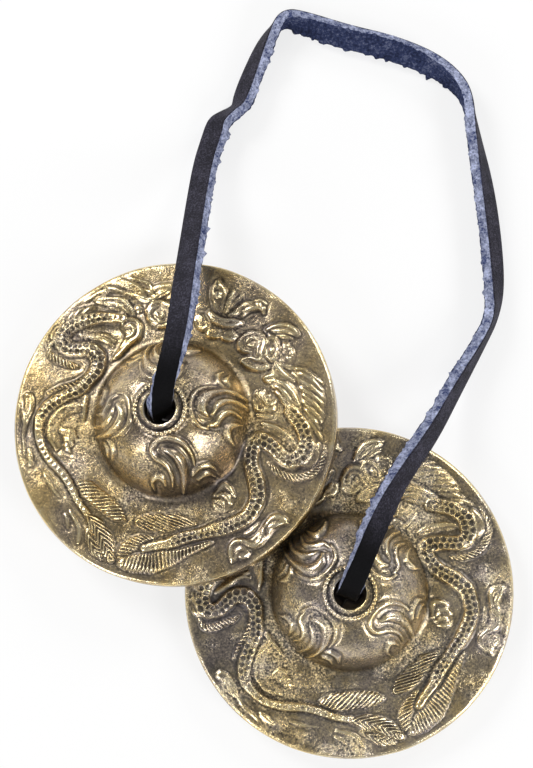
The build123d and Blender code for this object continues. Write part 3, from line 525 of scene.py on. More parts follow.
class Relief:
    """The cast ornament as a height over the plan of the casting, in millimetres."""

    # How far outside a stroke its surroundings reach, and the share of its half width that takes marks.
    REACH = 1.2
    MARKED = 1.3

    def __init__(self, x, y):
        self.x = x
        self.y = y
        self.plate_height = np.zeros_like(x)
        self.lifts = np.zeros_like(x)
        self.moat = np.zeros_like(x)
        self.border = np.zeros_like(x)
        self.cut = np.zeros_like(x)
        self.marks = {name: np.zeros_like(x) for name in FINISH_MARKS}

    def stroke(self, widths, points):
        """What lies near a stroke: vertex numbers, distance, half width, side and run."""
        line, shares = drawn_line(points)
        half = np.interp(shares, np.linspace(0, 1, len(widths)), widths)
        reach = max(widths) + self.REACH
        low = line.min(0) - reach
        high = line.max(0) + reach
        near = np.flatnonzero(
            (self.x > low[0]) & (self.x < high[0]) & (self.y > low[1]) & (self.y < high[1])
        )
        runs = np.diff(line, axis=0)
        lengths = np.hypot(*runs.T)
        start = np.concatenate([[0], np.cumsum(lengths)])
        dx = self.x[near][:, None] - line[:-1, 0]
        dy = self.y[near][:, None] - line[:-1, 1]
        along = np.clip((dx * runs[:, 0] + dy * runs[:, 1]) / lengths**2, 0, 1)
        away = np.hypot(dx - along * runs[:, 0], dy - along * runs[:, 1])
        best = away.argmin(1)
        rows = np.arange(len(near))
        along = along[rows, best]
        away = away[rows, best]
        side = np.sign(runs[best, 0] * dy[rows, best] - runs[best, 1] * dx[rows, best])
        here = half[best] + (half[best + 1] - half[best]) * along
        return near, away, here, side, start[best] + along * lengths[best]

    def add_form(self, near, height):
        """Adds a form; where forms meet, they run into each other softly."""
        self.lifts[near] += height**4

    def sink(self, ground, near, gap, depth, width):
        """A moat just outside a form, which keeps its outline dark."""
        bell = np.clip(1 - np.abs(gap - width * 0.6) / width, 0, 1)
        ground[near] = np.maximum(ground[near], depth * bell)

    def plate(self, height, widths, points, outline=0.14):
        """A low plate under a group of strokes, with a sunk outline."""
        near, away, here = self.stroke(widths, points)[:3]
        bank = height * soft_step(1.3, 0.6, away / here)
        self.plate_height[near] = np.maximum(self.plate_height[near], bank)
        self.sink(self.border, near, away - here, depth=outline, width=0.6)

    def hollow(self, depth, widths, points):
        """A sunk line or a shallow hollow."""
        near, away, here = self.stroke(widths, points)[:3]
        sunk = depth * soft_step(1.4, 0.3, away / here)
        self.border[near] = np.maximum(self.border[near], sunk)

    def ridge(self, height, widths, points, outline=0.14):
        """A rounded ridge along a stroke."""
        near, away, here = self.stroke(widths, points)[:3]
        self.add_form(near, height * soft_step(1.45, 0.0, away / here))
        self.sink(self.moat, near, away - here, depth=outline, width=0.5)

    def body(self, height, widths, points):
        """A dragon's body: a full band with rows of ring-shaped scales, one row where it is thin."""
        near, away, here, side, run = self.stroke(widths, points)
        self.add_form(near, height * soft_step(1.25, 0.6, away / here))
        self.sink(self.border, near, away - here, depth=0.16, width=0.7)
        wide = soft_step(0.95, 1.1, here)
        marked = away < here * self.MARKED
        self.marks["scale_run"][near[marked]] = (run / SCALE_LENGTH)[marked]
        self.marks["scale_side"][near[marked]] = (away * side / here)[marked]
        self.marks["scale"][near] += wide * soft_step(1.2, 0.9, away / here)
        size = np.clip(here * 0.46, 0.34, 0.6)
        for row in (-1, 1):
            place = ((run / SCALE_LENGTH + 0.25 * row) % 1.0 - 0.5) * SCALE_LENGTH
            reach = np.hypot(place, away * side - 0.46 * row * here * wide) / size
            pit = (0.3 - 0.16 * wide) * np.clip(1.3 - 1.3 * reach**4, 0, 1)
            if row < 0:
                pit = pit * wide
            self.cut[near] = np.maximum(self.cut[near], pit)

    def ribbed(self, height, pitch, left_slant, right_slant, widths, points):
        """A fin or leaf: a low blade with slanting ribs."""
        near, away, here, side, run = self.stroke(widths, points)
        slant = np.where(side > 0, left_slant, right_slant)
        turns = (run + slant * away * side) / (pitch * np.sqrt(1 + slant**2))
        rib = 0.5 + 0.5 * np.cos(2 * math.pi * turns)
        blade = soft_step(1.25, 0.75, away / here)
        self.add_form(near, height * blade * (0.6 + 0.4 * rib))
        marked = away < here * self.MARKED
        self.marks["rib_turn"][near[marked]] = turns[marked]
        self.marks["rib"][near] = np.maximum(self.marks["rib"][near], blade)
        self.sink(self.border, near, away - here, depth=0.13, width=0.55)

    def lobe(self, height, x, y, long, wide, turn):
        """A domed oval."""
        c = math.cos(math.radians(turn))
        s = math.sin(math.radians(turn))
        near = np.flatnonzero(np.hypot(self.x - x, self.y - y) < max(long, wide) + 1)
        dx = self.x[near] - x
        dy = self.y[near] - y
        across = np.hypot((dx * c + dy * s) / long, (dy * c - dx * s) / wide)
        self.add_form(near, height * np.sqrt(np.clip(1 - across**2, 0, 1)))
        self.sink(self.moat, near, (across - 1) * min(long, wide), depth=0.2, width=0.45)

    def beads(self, radius, count, size, height):
        """A ring of small beads round the hole."""
        angle = np.arctan2(self.y, self.x) * count / (2 * math.pi)
        off = (angle - np.round(angle)) * 2 * math.pi * radius / count
        reach = np.hypot(off, np.hypot(self.x, self.y) - radius) / size
        self.add_form(slice(None), height * np.sqrt(np.clip(1 - reach**2, 0, 1)))

    def ring_groove(self, radius, width, depth):
        """A shallow turned groove."""
        off = np.abs(np.hypot(self.x, self.y) - radius) / width
        self.moat = np.maximum(self.moat, depth * np.clip(1 - off**2, 0, 1))

    def height(self):
        """All of it together: strokes on a plate stand lower and its moats are shallower."""
        on_plate = np.clip(self.plate_height / 0.25, 0, 1)
        uneven = 0.9 + 0.14 * waver(self.x, self.y, 7.0, 0.9) + 0.1 * waver(self.x, self.y, 2.6, 3.3)
        raised = self.lifts**0.25 * (1 - 0.3 * on_plate) * uneven
        open_ground = np.clip(1 - raised / 0.25, 0, 1)
        sunk = self.moat * open_ground * (1 - 0.25 * on_plate)
        sunk = np.maximum(sunk, self.border * open_ground * (1 - on_plate))
        sunk = sunk * (0.75 + 0.5 * waver(self.x, self.y, 8.0, 2.0))
        cut = self.cut * np.clip(raised / 0.3, 0, 1)
        return raised + self.plate_height - sunk - cut


def wave(x, y, turn, length, phase):
    """A straight wave over the plan, running this many degrees off the x axis."""
    along = x * math.cos(math.radians(turn)) + y * math.sin(math.radians(turn))
    return np.sin(2 * math.pi * along / length + phase)


def unevenness(x, y):
    """The slow waves that hand finishing leaves in a cast face; the longer, the higher."""
    rows = ((20, 13, 0.4), (75, 17, 2.1), (130, 11, 4.4), (160, 21, 1.2), (50, 8, 3.0))
    return sum(wave(x, y, turn, length, phase) * length / 16 for turn, length, phase in rows)


def waver(x, y, length, phase):
    """An uneven wave over the plan, about this long, between -1 and 1."""
    rows = ((15, 1.0, 0.0), (77, 0.83, 1.9), (138, 1.21, 4.1))
    return sum(wave(x, y, turn, length * share, phase + shift) for turn, share, shift in rows) / 3


def turned_form(form, turn, share):
    """A form of a dome's scroll, turned about the hole and with this share of its height."""
    height, widths, points = form
    c = math.cos(math.radians(turn))
    s = math.sin(math.radians(turn))
    points = [(c * x - s * y, s * x + c * y) for x, y in points]
    return height * share, np.multiply(widths, SCROLL_WIDTH_SHARE), points


def ornament(x, y):
    """The whole design over these places of the plan: its height, and marks for the finish."""
    freedom = soft_step(6, 9, np.hypot(x, y))
    hand_x = x
    hand_y = y
    for far, length, x_phase, y_phase in HAND_STRAY:
        hand_x = hand_x + freedom * far * waver(x, y, length, x_phase)
        hand_y = hand_y + freedom * far * waver(x, y, length, y_phase)
    relief = Relief(hand_x, hand_y)
    relief.body(BODY_HEIGHT, *LEFT_BODY)
    relief.body(BODY_HEIGHT, *RIGHT_BODY)
    for add, forms in (
        (relief.plate, PLATES),
        (relief.ribbed, RIBBED),
        (relief.hollow, HOLLOWS),
        (relief.ridge, RIDGES),
        (relief.lobe, LOBES),
    ):
        for form in forms:
            add(*form)
    for scroll, turn, share in DOME_SCROLLS:
        relief.plate(*turned_form(DOME_SCROLL_PLATE, turn, share), outline=SCROLL_PLATE_OUTLINE)
        for form in scroll:
            relief.ridge(*turned_form(form, turn, share), outline=SCROLL_OUTLINE)
    relief.beads(**BEAD_RING)
    relief.ring_groove(**BEAD_GROOVE)
    return relief.height(), relief.marks


class Wire:
    """A socket of a material that takes part in sums; each sum adds a Math node."""

    def __init__(self, finish, socket):
        self.finish = finish
        self.socket = socket

    def math(self, operation, *values):
        """A Math node on this value and others."""
        links = {i: value for i, value in enumerate((self, *values))}
        return self.finish.node("ShaderNodeMath", {"operation": operation}, links)

    def __add__(self, other):
        return self.math("ADD", other)

    def __sub__(self, other):
        return self.math("SUBTRACT", other)

    def __mul__(self, other):
        return self.math("MULTIPLY", other)

    def __rsub__(self, other):
        return self.finish.node("ShaderNodeMath", {"operation": "SUBTRACT"}, {0: other, 1: self})

    __radd__ = __add__
    __rmul__ = __mul__

    def between(self, low, high):
        """0 below low and 1 above high."""
        settings = {"interpolation_type": "SMOOTHSTEP"}
        return self.finish.node("ShaderNodeMapRange", settings, {0: self, 1: low, 2: high})


class Finish:
    """A material while its nodes are being laid out."""

    def __init__(self, name):
        self.material = bpy.data.materials.new(name)
        self.material.use_nodes = True
        self.tree = self.material.node_tree
        self.tree.nodes.clear()

    def node(self, kind, settings=None, links=None, out=0):
        """Adds a node with its settings, its linked or plain inputs, and gives one output."""
        made = self.tree.nodes.new(kind)
        for key, value in (settings or {}).items():
            if key == "stops":
                self.set_stops(made.color_ramp, value)
            else:
                setattr(made, key, value)
        for key, value in (links or {}).items():
            if isinstance(value, Wire):
                self.tree.links.new(value.socket, made.inputs[key])
            else:
                made.inputs[key].default_value = value
        return Wire(self, made.outputs[out]) if len(made.outputs) else None

    @staticmethod
    def set_stops(ramp, stops):
        """Gives a ramp its places and colours."""
        while len(ramp.elements) < len(stops):
            ramp.elements.new(0.5)
        for element, (place, colour) in zip(ramp.elements, stops):
            element.position = place
            element.color = (*colour[:3], 1)

    def place(self):
        """Where on the object a point lies."""
        return self.node("ShaderNodeTexCoord", out="Object")

    def attribute(self, name):
        """A number kept on the mesh."""
        return self.node("ShaderNodeAttribute", {"attribute_name": name}, out="Fac")

    def clouds(self, scale, detail=4.0, rough=0.55):
        """Noise about 0.5, with this many patches to the metre."""
        links = {"Vector": self.place(), "Scale": scale, "Detail": detail, "Roughness": rough}
        return self.node("ShaderNodeTexNoise", None, links, "Fac")

    def blend(self, factor, first, second, mode="MIX"):
        """One colour going over into another."""
        settings = {"data_type": "RGBA", "blend_type": mode}
        return self.node("ShaderNodeMix", settings, {0: factor, 6: first, 7: second}, 2)

    def ramp(self, factor, stops):
        """A colour from a number."""
        return self.node("ShaderNodeValToRGB", {"stops": stops}, {0: factor})

    def bump(self, height, depth):
        """A bumped normal of this depth in metres."""
        return self.node("ShaderNodeBump", None, {"Height": height, "Distance": depth})

    def surface(self, **sockets):
        """Ends the material in a Principled shader with these inputs."""
        links = {key.replace("_", " "): value for key, value in sockets.items()}
        shader = self.node("ShaderNodeBsdfPrincipled", None, links)
        self.node("ShaderNodeOutputMaterial", None, {"Surface": shader})
        return self.material


def rgba(colour):
    """A colour as a node's socket takes it."""
    return (*colour, 1.0)


def shaded(colour, share, lift=0.0):
    """A colour made darker or lighter."""
    return [min(1.0, value * share + lift) for value in colour]


def toned(colour, warmth):
    """A colour with part of its warmth taken out."""
    grey = colour[0] * 0.3 + colour[1] * 0.55 + colour[2] * 0.15
    return [grey + (value - grey) * warmth for value in colour]


def scale_pits(finish):
    """The hollows of a dragon's scales: two staggered rows of cells along the body."""
    run = finish.attribute("scale_run")
    side = finish.attribute("scale_side")
    pits = 0.0
    for row in (-1, 1):
        along = ((run + 0.25 * row).math("FRACT") - 0.5) * 2.05
        across = (side - 0.47 * row) * 2.2
        reach = (along * along + across * across).math("SQRT")
        pits = reach.between(1.0, 0.72) + pits
    return pits * finish.attribute("scale")


def bell_metal(name, look, warmth, coarse):
    """Aged cast bell metal: brown ground, golden heights rubbed by use, grimy recesses and sandy
    patches, with painted shade in the scale pits and in the crease at the dome's foot.
    """
    finish = Finish(name)
    worn_and_shaded = finish.attribute("wear")
    pits = scale_pits(finish)
    ribs = (finish.attribute("rib_turn") * (2 * math.pi)).math("COSINE") * finish.attribute("rib")
    broad = finish.clouds(55, 3)
    patches = finish.clouds(240, 4)
    speckle = finish.clouds(2300, 3, 0.75)
    grain = finish.clouds(5200, 2, 0.6)
    # Sandy patches, rubbed off the heights
    grit = finish.clouds(105, 2) + (patches - 0.5) * 0.35
    grit = grit.between(0.62 - coarse * 0.15, 0.8 - coarse * 0.12)
    grit = grit * (1 - worn_and_shaded.between(0.06, 0.4) * 0.75)
    # How bright the metal is, from grimy to polished; the mark's negative part holds grime and the
    # painted shade at the dome's foot
    grime_and_shade = worn_and_shaded.math("MINIMUM", 0.0) * (patches * 2.2 - 0.2)
    # Painted shade: the scale pits are drawn darker. The ribs are drawn lighter along their crests and
    # darker between them.
    wear = worn_and_shaded.math("MAXIMUM", 0.0) + grime_and_shade + ribs * 0.3 - pits * 0.5
    wear = wear + finish.attribute("scale") * 0.14
    flecks = speckle.between(0.5, 0.66) * 0.7 - speckle.between(0.48, 0.34) * 0.6 + (grain - 0.5) * 1.2
    tone = wear * 1.05 + (broad - 0.5) * 0.65 + (patches - 0.5) * 0.7 + 0.17
    tone = tone + flecks * (0.3 + grit * 0.8) - grit * 0.16
    polish = tone.between(-0.5, 0.95)
    stops = (
        (0.0, look.recess_colour),
        (0.22, look.shade_colour),
        (0.46, look.ground_colour),
        (0.7, look.gold_colour),
        (1.0, look.bright_colour),
    )
    stops = [(place, toned(shade, warmth + (1 - warmth) * place)) for place, shade in stops]
    # Cool and warm stains
    tints = ((0.4, (0.8, 0.81, 0.96)), (0.5, (1, 1, 1)), (0.6, (1.0, 0.93, 0.74)))
    tint = finish.ramp(finish.clouds(85, 6, 0.65), tints)
    sand = speckle * (0.13 + grit * 0.5) + grain * (0.08 + grit * 0.2) + patches * 0.5
    return finish.surface(
        Base_Color=finish.blend(1.0, finish.ramp(polish, stops), tint, "MULTIPLY"),
        Metallic=0.95,
        Roughness=0.25 - polish * 0.07 + grit * 0.08 + (speckle - 0.5) * 0.1 - grime_and_shade * 0.3,
        Normal=finish.bump(sand - pits * 0.6 + ribs * 0.4, depth=0.0003),
    )


def strap_leather(name, look):
    """Dyed leather: fine black grain, navy suede on the flesh side, pale fibres on the cut edges, and
    painted shade that turns the grain near black where the strap goes into a hole.
    """
    finish = Finish(name)
    cut = finish.attribute("cut_edge")
    flesh = finish.attribute("flesh_side")
    fine = finish.clouds(2800, 4, 0.7)
    fibre = finish.clouds(1700, 6, 0.7)
    patch = finish.clouds(260, 4, 0.6)
    strand = finish.clouds(480, 3, 0.6)
    grain_stops = (
        (0.38, shaded(look.grain_colour, 0.4)),
        (0.5, look.grain_colour),
        (0.64, shaded(look.grain_colour, 3, 0.004)),
    )
    suede_stops = (
        (0.38, shaded(look.flesh_colour, 0.35)),
        (0.52, look.flesh_colour),
        (0.74, look.fibre_colour),
    )
    fibre_stops = (
        (0.36, shaded(look.flesh_colour, 0.6)),
        (0.43, shaded(look.flesh_colour, 1.6)),
        (0.5, look.fibre_colour),
        (0.6, shaded(look.fibre_colour, 2.1)),
    )
    grain = finish.ramp(fine * 0.7 + patch * 0.3, grain_stops)
    suede = finish.ramp(fibre * 0.65 + patch * 0.35, suede_stops)
    fibres = finish.ramp(fibre * 0.4 + fine * 0.25 + strand * 0.35, fibre_stops)
    # Painted shade: the grain goes nearly black over the stretch that runs into each hole, and over the
    # whole of each short knot.
    inside = rgba(shaded(look.grain_colour, 0.04))
    grain = finish.blend(finish.attribute("neck") * 0.97, grain, inside)
    colour = finish.blend((flesh + (fibre - 0.5) * 0.5).between(0.4, 0.6), grain, suede)
    colour = finish.blend((cut + (fibre - 0.5) * 0.3).between(0.42, 0.62), colour, fibres)
    soft = (flesh + cut).between(0.2, 0.8)
    return finish.surface(
        Base_Color=colour,
        Roughness=0.62 + soft * 0.33,
        Normal=finish.bump(fine * (0.3 + soft * 0.2) + fibre * soft, depth=0.0004),
        Specular_IOR_Level=0.1,
    )


def mesh_piece(bm, name, material):
    """A finished bmesh as a smooth object at the origin."""
    mesh = bpy.data.meshes.new(name)
    bm.to_mesh(mesh)
    bm.free()
    mesh.materials.append(material)
    mesh.shade_smooth()
    piece = bpy.data.objects.new(name, mesh)
    bpy.context.scene.collection.objects.link(piece)
    return piece


def profile_arc(bm, start, centre, turn, steps):
    """Goes on from a vertex of a half section along an arc about a centre in it."""
    made = bmesh.ops.spin(
        bm, geom=[start], cent=(centre[0], 0, centre[1]), axis=(0, 1, 0), angle=turn, steps=steps
    )
    return next(item for item in made["geom_last"] if isinstance(item, bmesh.types.BMVert))


def profile_line(bm, start, place):
    """Goes on from a vertex of a half section along a straight line."""
    end = bm.verts.new((place[0], 0, place[1]))
    bm.edges.new((start, end))
    return end


def round_corner(bm, place, radius, segments):
    """Rounds the corner of a half section that is at this place."""
    spot = Vector((place[0], 0, place[1]))
    corner = min(bm.verts, key=lambda vertex: (vertex.co - spot).length)
    bmesh.ops.bevel(
        bm, geom=[corner], offset=radius, offset_type="OFFSET", affect="VERTICES",
        segments=segments, profile=0.5, material=-1, clamp_overlap=True,
    )


def cut_rows(bm, place, cuts):
    """Cuts the straight of a half section whose middle is nearest to this place."""
    spot = Vector((place[0], 0, place[1]))

    def distance(edge):
        return ((edge.verts[0].co + edge.verts[1].co) / 2 - spot).length

    bmesh.ops.subdivide_edges(bm, edges=[min(bm.edges, key=distance)], cuts=cuts)


def half_section(bm, size):
    """The ring of edges that turns into the casting: hole, lip, dome, flange, rim and cup."""
    hole = size.hole_radius
    rim = size.rim_radius
    lip = hole + size.lip_width
    cup = size.dome_radius - size.dome_wall
    lip_foot = size.height - size.lip_height
    centre = lip_foot - math.sqrt(size.dome_radius**2 - lip**2)
    hole_bottom = centre + math.sqrt(cup**2 - hole**2)
    flange_top = size.rim_thickness + size.flange_rise
    foot = math.sqrt(size.dome_radius**2 - (flange_top - centre) ** 2)
    fall = Vector((rim - foot, -size.flange_rise)).normalized()
    up = Vector((-fall.y, fall.x))
    base = Vector((foot, flange_top - centre)) + up * size.foot_round
    reach = size.dome_radius + size.foot_round
    ahead = -base.dot(fall) + math.sqrt(base.dot(fall) ** 2 - base.length_squared + reach**2)
    fillet = base + fall * ahead
    lip_turn = math.atan2(lip, lip_foot - centre)
    bead_turn = math.asin(size.bead_reach / size.dome_radius)
    foot_turn = math.atan2(fillet.x, fillet.y)
    first = bm.verts.new((hole, 0, hole_bottom))
    at = profile_line(bm, first, (hole, size.height))
    at = profile_line(bm, at, (lip, size.height))
    at = profile_line(bm, at, (lip, lip_foot))
    at = profile_arc(bm, at, (0, centre), bead_turn - lip_turn, size.bead_rows)
    at = profile_arc(bm, at, (0, centre), foot_turn - bead_turn, size.dome_rows)
    flange_turn = foot_turn - math.atan2(up.x, up.y)
    at = profile_arc(bm, at, (fillet.x, fillet.y + centre), -flange_turn, FILLET_STEPS)
    flange_start = at.co.copy()
    at = profile_line(bm, at, (rim, size.rim_thickness))
    at = profile_line(bm, at, (rim, 0))
    at = profile_line(bm, at, (cup, 0))
    at = profile_line(bm, at, (cup, centre))
    cup_turn = math.atan2(hole, hole_bottom - centre) - math.pi / 2
    at = profile_arc(bm, at, (0, centre), cup_turn, CUP_STEPS)
    bmesh.ops.remove_doubles(bm, verts=[at, first], dist=MERGE_DISTANCE)
    round_corner(bm, (hole, size.height), size.lip_round, LIP_SEGMENTS)
    round_corner(bm, (lip, size.height), size.lip_round, LIP_SEGMENTS)
    round_corner(bm, (rim, size.rim_thickness), size.rim_round, RIM_SEGMENTS)
    round_corner(bm, (rim, 0), size.rim_round, RIM_SEGMENTS)
    round_corner(bm, (cup, 0), size.cup_round, CUP_SEGMENTS)
    cut_rows(bm, ((flange_start.x + rim) / 2, flange_top), size.flange_rows)
    cut_rows(bm, ((cup + rim) / 2, 0), BASE_CUTS)


def turned_casting(size):
    """The plain casting, spun in one sector that is then doubled round the axis."""
    bm = bmesh.new()
    half_section(bm, size)
    sectors = SECTORS
    bmesh.ops.spin(
        bm, geom=list(bm.verts) + list(bm.edges), cent=(0, 0, 0), axis=(0, 0, 1),
        angle=2 * math.pi / sectors, steps=size.steps // sectors,
    )
    while sectors > 1:
        copy = bmesh.ops.duplicate(bm, geom=list(bm.verts) + list(bm.edges) + list(bm.faces))
        verts = [item for item in copy["geom"] if isinstance(item, bmesh.types.BMVert)]
        turn = Matrix.Rotation(2 * math.pi / sectors, 3, "Z")
        bmesh.ops.rotate(bm, verts=verts, cent=(0, 0, 0), matrix=turn)
        sectors //= 2
    bmesh.ops.remove_doubles(bm, verts=bm.verts, dist=MERGE_DISTANCE)
    bmesh.ops.recalc_face_normals(bm, faces=bm.faces)
    return bm


def neighbour_mean(values, ends, rounds):
    """Values spread over a mesh's edges, a few times over."""
    count = len(values)
    shares = np.bincount(ends.ravel(), minlength=count)
    for _ in range(rounds):
        total = np.bincount(ends[:, 0], values[ends[:, 1]], count)
        total += np.bincount(ends[:, 1], values[ends[:, 0]], count)
        values = 0.5 * values + 0.5 * total / shares
    return values


def vertex_vectors(mesh, name):
    """A vector of every vertex, one to a row."""
    values = np.empty(len(mesh.vertices) * 3, np.float32)
    mesh.vertices.foreach_get(name, values)
    return values.reshape(-1, 3).astype(float)


def edge_ends(mesh):
    """The numbers of the two vertices of every edge."""
    ends = np.empty(len(mesh.edges) * 2, np.int32)
    mesh.edges.foreach_get("vertices", ends)
    return ends.reshape(-1, 2)


def hand_wear_and_shade(size, height, ends, radius, z, top):
    """Above 0 where hands polish the casting; below 0 where dirt stays, where shade is painted in the
    crease at the dome's foot, and a little over the dome.
    """
    hole = size.hole_radius / MM
    lip = (size.hole_radius + size.lip_width) / MM
    rim = size.rim_radius / MM
    dome = size.dome_radius / MM
    near = height - neighbour_mean(height, ends, NEAR_ROUNDS)
    wide = height - neighbour_mean(height, ends, WIDE_ROUNDS)
    at_foot = soft_step(dome - 2.9, dome - 0.2, radius) * soft_step(dome + 3.1, dome + 0.8, radius)
    on_dome = soft_step(dome, dome - 2, radius)
    on_lip = soft_step(lip + 0.3, lip, radius) * (z > size.height / MM - 1)
    lip_edge = soft_step(hole + 0.4, hole + 0.1, radius)
    on_rim = soft_step(rim - 1.1, rim - 0.4, radius) * (z > size.rim_thickness / MM - 0.7)
    wear = near * NEAR_POLISH + wide * WIDE_POLISH + on_rim * RIM_POLISH
    # Below 0: grime and painted shade in the crease at the dome's foot, and a slight darkening of the
    # dome
    wear -= (at_foot * FOOT_GRIME_AND_SHADE + on_dome * DOME_DARKENING) * top
    return wear + on_lip * (lip_edge * LIP_POLISH - LIP_GRIME)


def cast_relief(piece, size):
    """Raises the ornament on the top side of a turned casting and notes where hands rub it, with painted
    shade at the dome's foot.
    """
    mesh = piece.data
    place = vertex_vectors(mesh, "co")
    normal = vertex_vectors(mesh, "normal")
    ends = edge_ends(mesh)
    x, y, z = place.T / MM
    radius = np.hypot(x, y)
    lip = (size.hole_radius + size.lip_width) / MM
    rim = size.rim_radius / MM
    top = (normal[:, 2] > 0.05) & (radius > lip + 0.02) & (z > size.rim_thickness / MM - 0.5)
    design, marks = ornament(x[top], y[top])
    sharp = np.zeros(len(place))
    sharp[top] = design * soft_step(*RELIEF_FADE, rim - radius[top]) * size.relief_depth
    swell = neighbour_mean(sharp, ends, SWELL_ROUNDS) * soft_step(*SWELL_FADE, rim - radius)
    height = neighbour_mean(sharp, ends, 1) + swell * size.swell
    height += unevenness(x, y) * size.unevenness / MM * soft_step(lip + 1, lip + 4, radius)
    height[~top] = 0.0
    place += normal * (height * MM)[:, None]
    mesh.vertices.foreach_set("co", place.astype(np.float32).ravel())
    keep_mark(mesh, "wear", hand_wear_and_shade(size, height, ends, radius, z, top))
    for name, values in marks.items():
        mark = np.zeros(len(place))
        mark[top] = values
        keep_mark(mesh, name, mark)
    mesh.update()


def keep_mark(mesh, name, values):
    """Keeps a number for each vertex, for the finish to read."""
    mesh.attributes.new(name, "FLOAT", "POINT").data.foreach_set("value", values.astype(np.float32))


def read_line(points):
    """Points read along the smooth spline that has these control points."""
    curve = bpy.data.curves.new("route", "CURVE")
    curve.dimensions = "3D"
    curve.resolution_u = ROUTE_RESOLUTION
    spline = curve.splines.new("NURBS")
    spline.points.add(len(points) - 1)
    for knot, point in zip(spline.points, points):
        knot.co = (*point, 1)
    spline.order_u = 3
    spline.use_endpoint_u = True
    holder = bpy.data.objects.new("route", curve)
    bpy.context.scene.collection.objects.link(holder)
    mesh = bpy.data.meshes.new_from_object(holder)
    line = [vertex.co.copy() for vertex in mesh.vertices]
    bpy.data.objects.remove(holder)
    bpy.data.curves.remove(curve)
    bpy.data.meshes.remove(mesh)
    return line


def width_direction(before, after, side_run, lean):
    """Which way the strap's width points where it runs from before to after."""
    run = (after - before).normalized()
    side = side_run.cross(Vector((0, 0, 1))).normalized()
    side = (side - run * side.dot(run)).normalized()
    rise = side.cross(run)
    return side * math.cos(math.radians(lean)) + rise * math.sin(math.radians(lean))


# A place along a ribbon: its middle, the directions of width and thickness, the length so far, and
# how far it belongs to a neck.
Station = namedtuple("Station", "centre width thick length neck")


def ribbon_stations(points, widths):
    """The places along a ribbon with this route."""
    centres = read_line(points)
    edges = read_line([point + width * MM for point, width in zip(points, widths)])
    stations = []
    length = 0.0
    for i, (centre, edge) in enumerate(zip(centres, edges)):
        before = centres[max(i - 1, 0)]
        run = (centres[min(i + 1, len(centres) - 1)] - before).normalized()
        width = edge - centre
        width = (width - run * width.dot(run)).normalized()
        length += (centre - before).length
        stations.append(Station(centre, width, width.cross(run), length, 0.0))
    necked = []
    for station in stations:
        from_end = min(station.length, length - station.length)
        necked.append(station._replace(neck=float(soft_step(NECK_OUTER, NECK_INNER, from_end))))
    return necked


def section_outline(size):
    """The strap's cross section as width, thickness, cut edge, flesh and fray marks, going round."""
    half = size.strap_width / 2
    thick = size.strap_thickness / 2
    outline = []
    for side, is_flesh in ((1, 0.0), (-1, 1.0)):
        for i in range(FACE_POINTS):
            across = half * FACE_SHARE * (1 - 2 * i / (FACE_POINTS - 1))
            outline.append((side * across, side * thick, 0.0, is_flesh, 0.0))
        for i in range(EDGE_POINTS):
            down = i / (EDGE_POINTS - 1)
            up = thick * EDGE_SHARE * (1 - 2 * down)
            outline.append((-side * half, side * up, 1.0, 0.0, abs(is_flesh - down)))
    return outline


def ribbon_mesh(size, *ribbons):
    """Straps through these lists of stations, with frayed cut edges and a rough flesh side."""
    outline = section_outline(size)
    bm = bmesh.new()
    marks = [bm.verts.layers.float.new(name) for name in ("cut_edge", "flesh_side", "neck")]
    for stations in ribbons:
        rows = len(stations) - 1
        sides = len(outline)
        sheet = bmesh.ops.create_grid(bm, x_segments=rows, y_segments=sides, size=1)["verts"]
        seam = []
        for vertex in sheet:
            row = round((vertex.co.x + 1) / 2 * rows)
            side = round((vertex.co.y + 1) / 2 * sides)
            if side in (0, sides):
                seam.append(vertex)
            set_vertex(vertex, outline[side % sides], stations[row], marks)
        bmesh.ops.remove_doubles(bm, verts=seam, dist=MERGE_DISTANCE)
    ends = [edge for edge in bm.edges if edge.is_boundary]
    bmesh.ops.holes_fill(bm, edges=ends)
    for edge in ends:
        edge.smooth = False
    bmesh.ops.recalc_face_normals(bm, faces=bm.faces)
    return bm


def set_vertex(vertex, spot, station, marks):
    """Moves a vertex of a strap from the flat sheet to its place and frays it."""
    across, up, is_cut, is_flesh, fray = spot
    centre, width, thick, _, neck = station
    place = centre + width * across * (1 - NECK_NARROWING * neck) + thick * up
    rough = 0.0
    for scale, on_cut, on_flesh in ROUGHNESS:
        rough += (is_cut * on_cut + is_flesh * on_flesh) * noise.noise(place * scale)
    tuft = 0.0
    for scale, reach, shift in TUFTS:
        tuft += reach * max(0, noise.noise(place * scale + Vector(shift)))
    tuft *= fray * (1 - TUFT_NECK * neck)
    out = (width * across * 0.5 + thick * up).normalized()
    place += out * rough * MM
    place += (width * math.copysign(TUFT_OUT, across) - thick * TUFT_DOWN) * tuft * MM
    vertex.co = (place.x, place.y, max(place.z, 0))
    # Navy fibres of the flesh side show on the frayed part of a cut edge
    pale = is_cut * (1 - FRAYED_FLESH * fray**2)
    for mark, value in zip(marks, (pale, max(is_flesh, fray), neck)):
        vertex[mark] = value


def strap_points():
    """The route's control points and the width direction at each; a neck keeps that of its bend."""
    route = (*LEFT_NECK, *STRAP_RUNS, *RIGHT_NECK)
    points = [Vector(row[:3]) * MM for row in route]
    widths = []
    last = len(points) - 1
    for i, row in enumerate(route):
        before = points[max(i - 1, 0)]
        after = points[min(i + 1, last)]
        side_run = after - before
        if i < len(LEFT_NECK):
            side_run = points[2] - points[1]
        if i > last - len(RIGHT_NECK):
            side_run = points[-2] - points[-3]
        widths.append(width_direction(before, after, side_run, row[3]))
    return points, widths


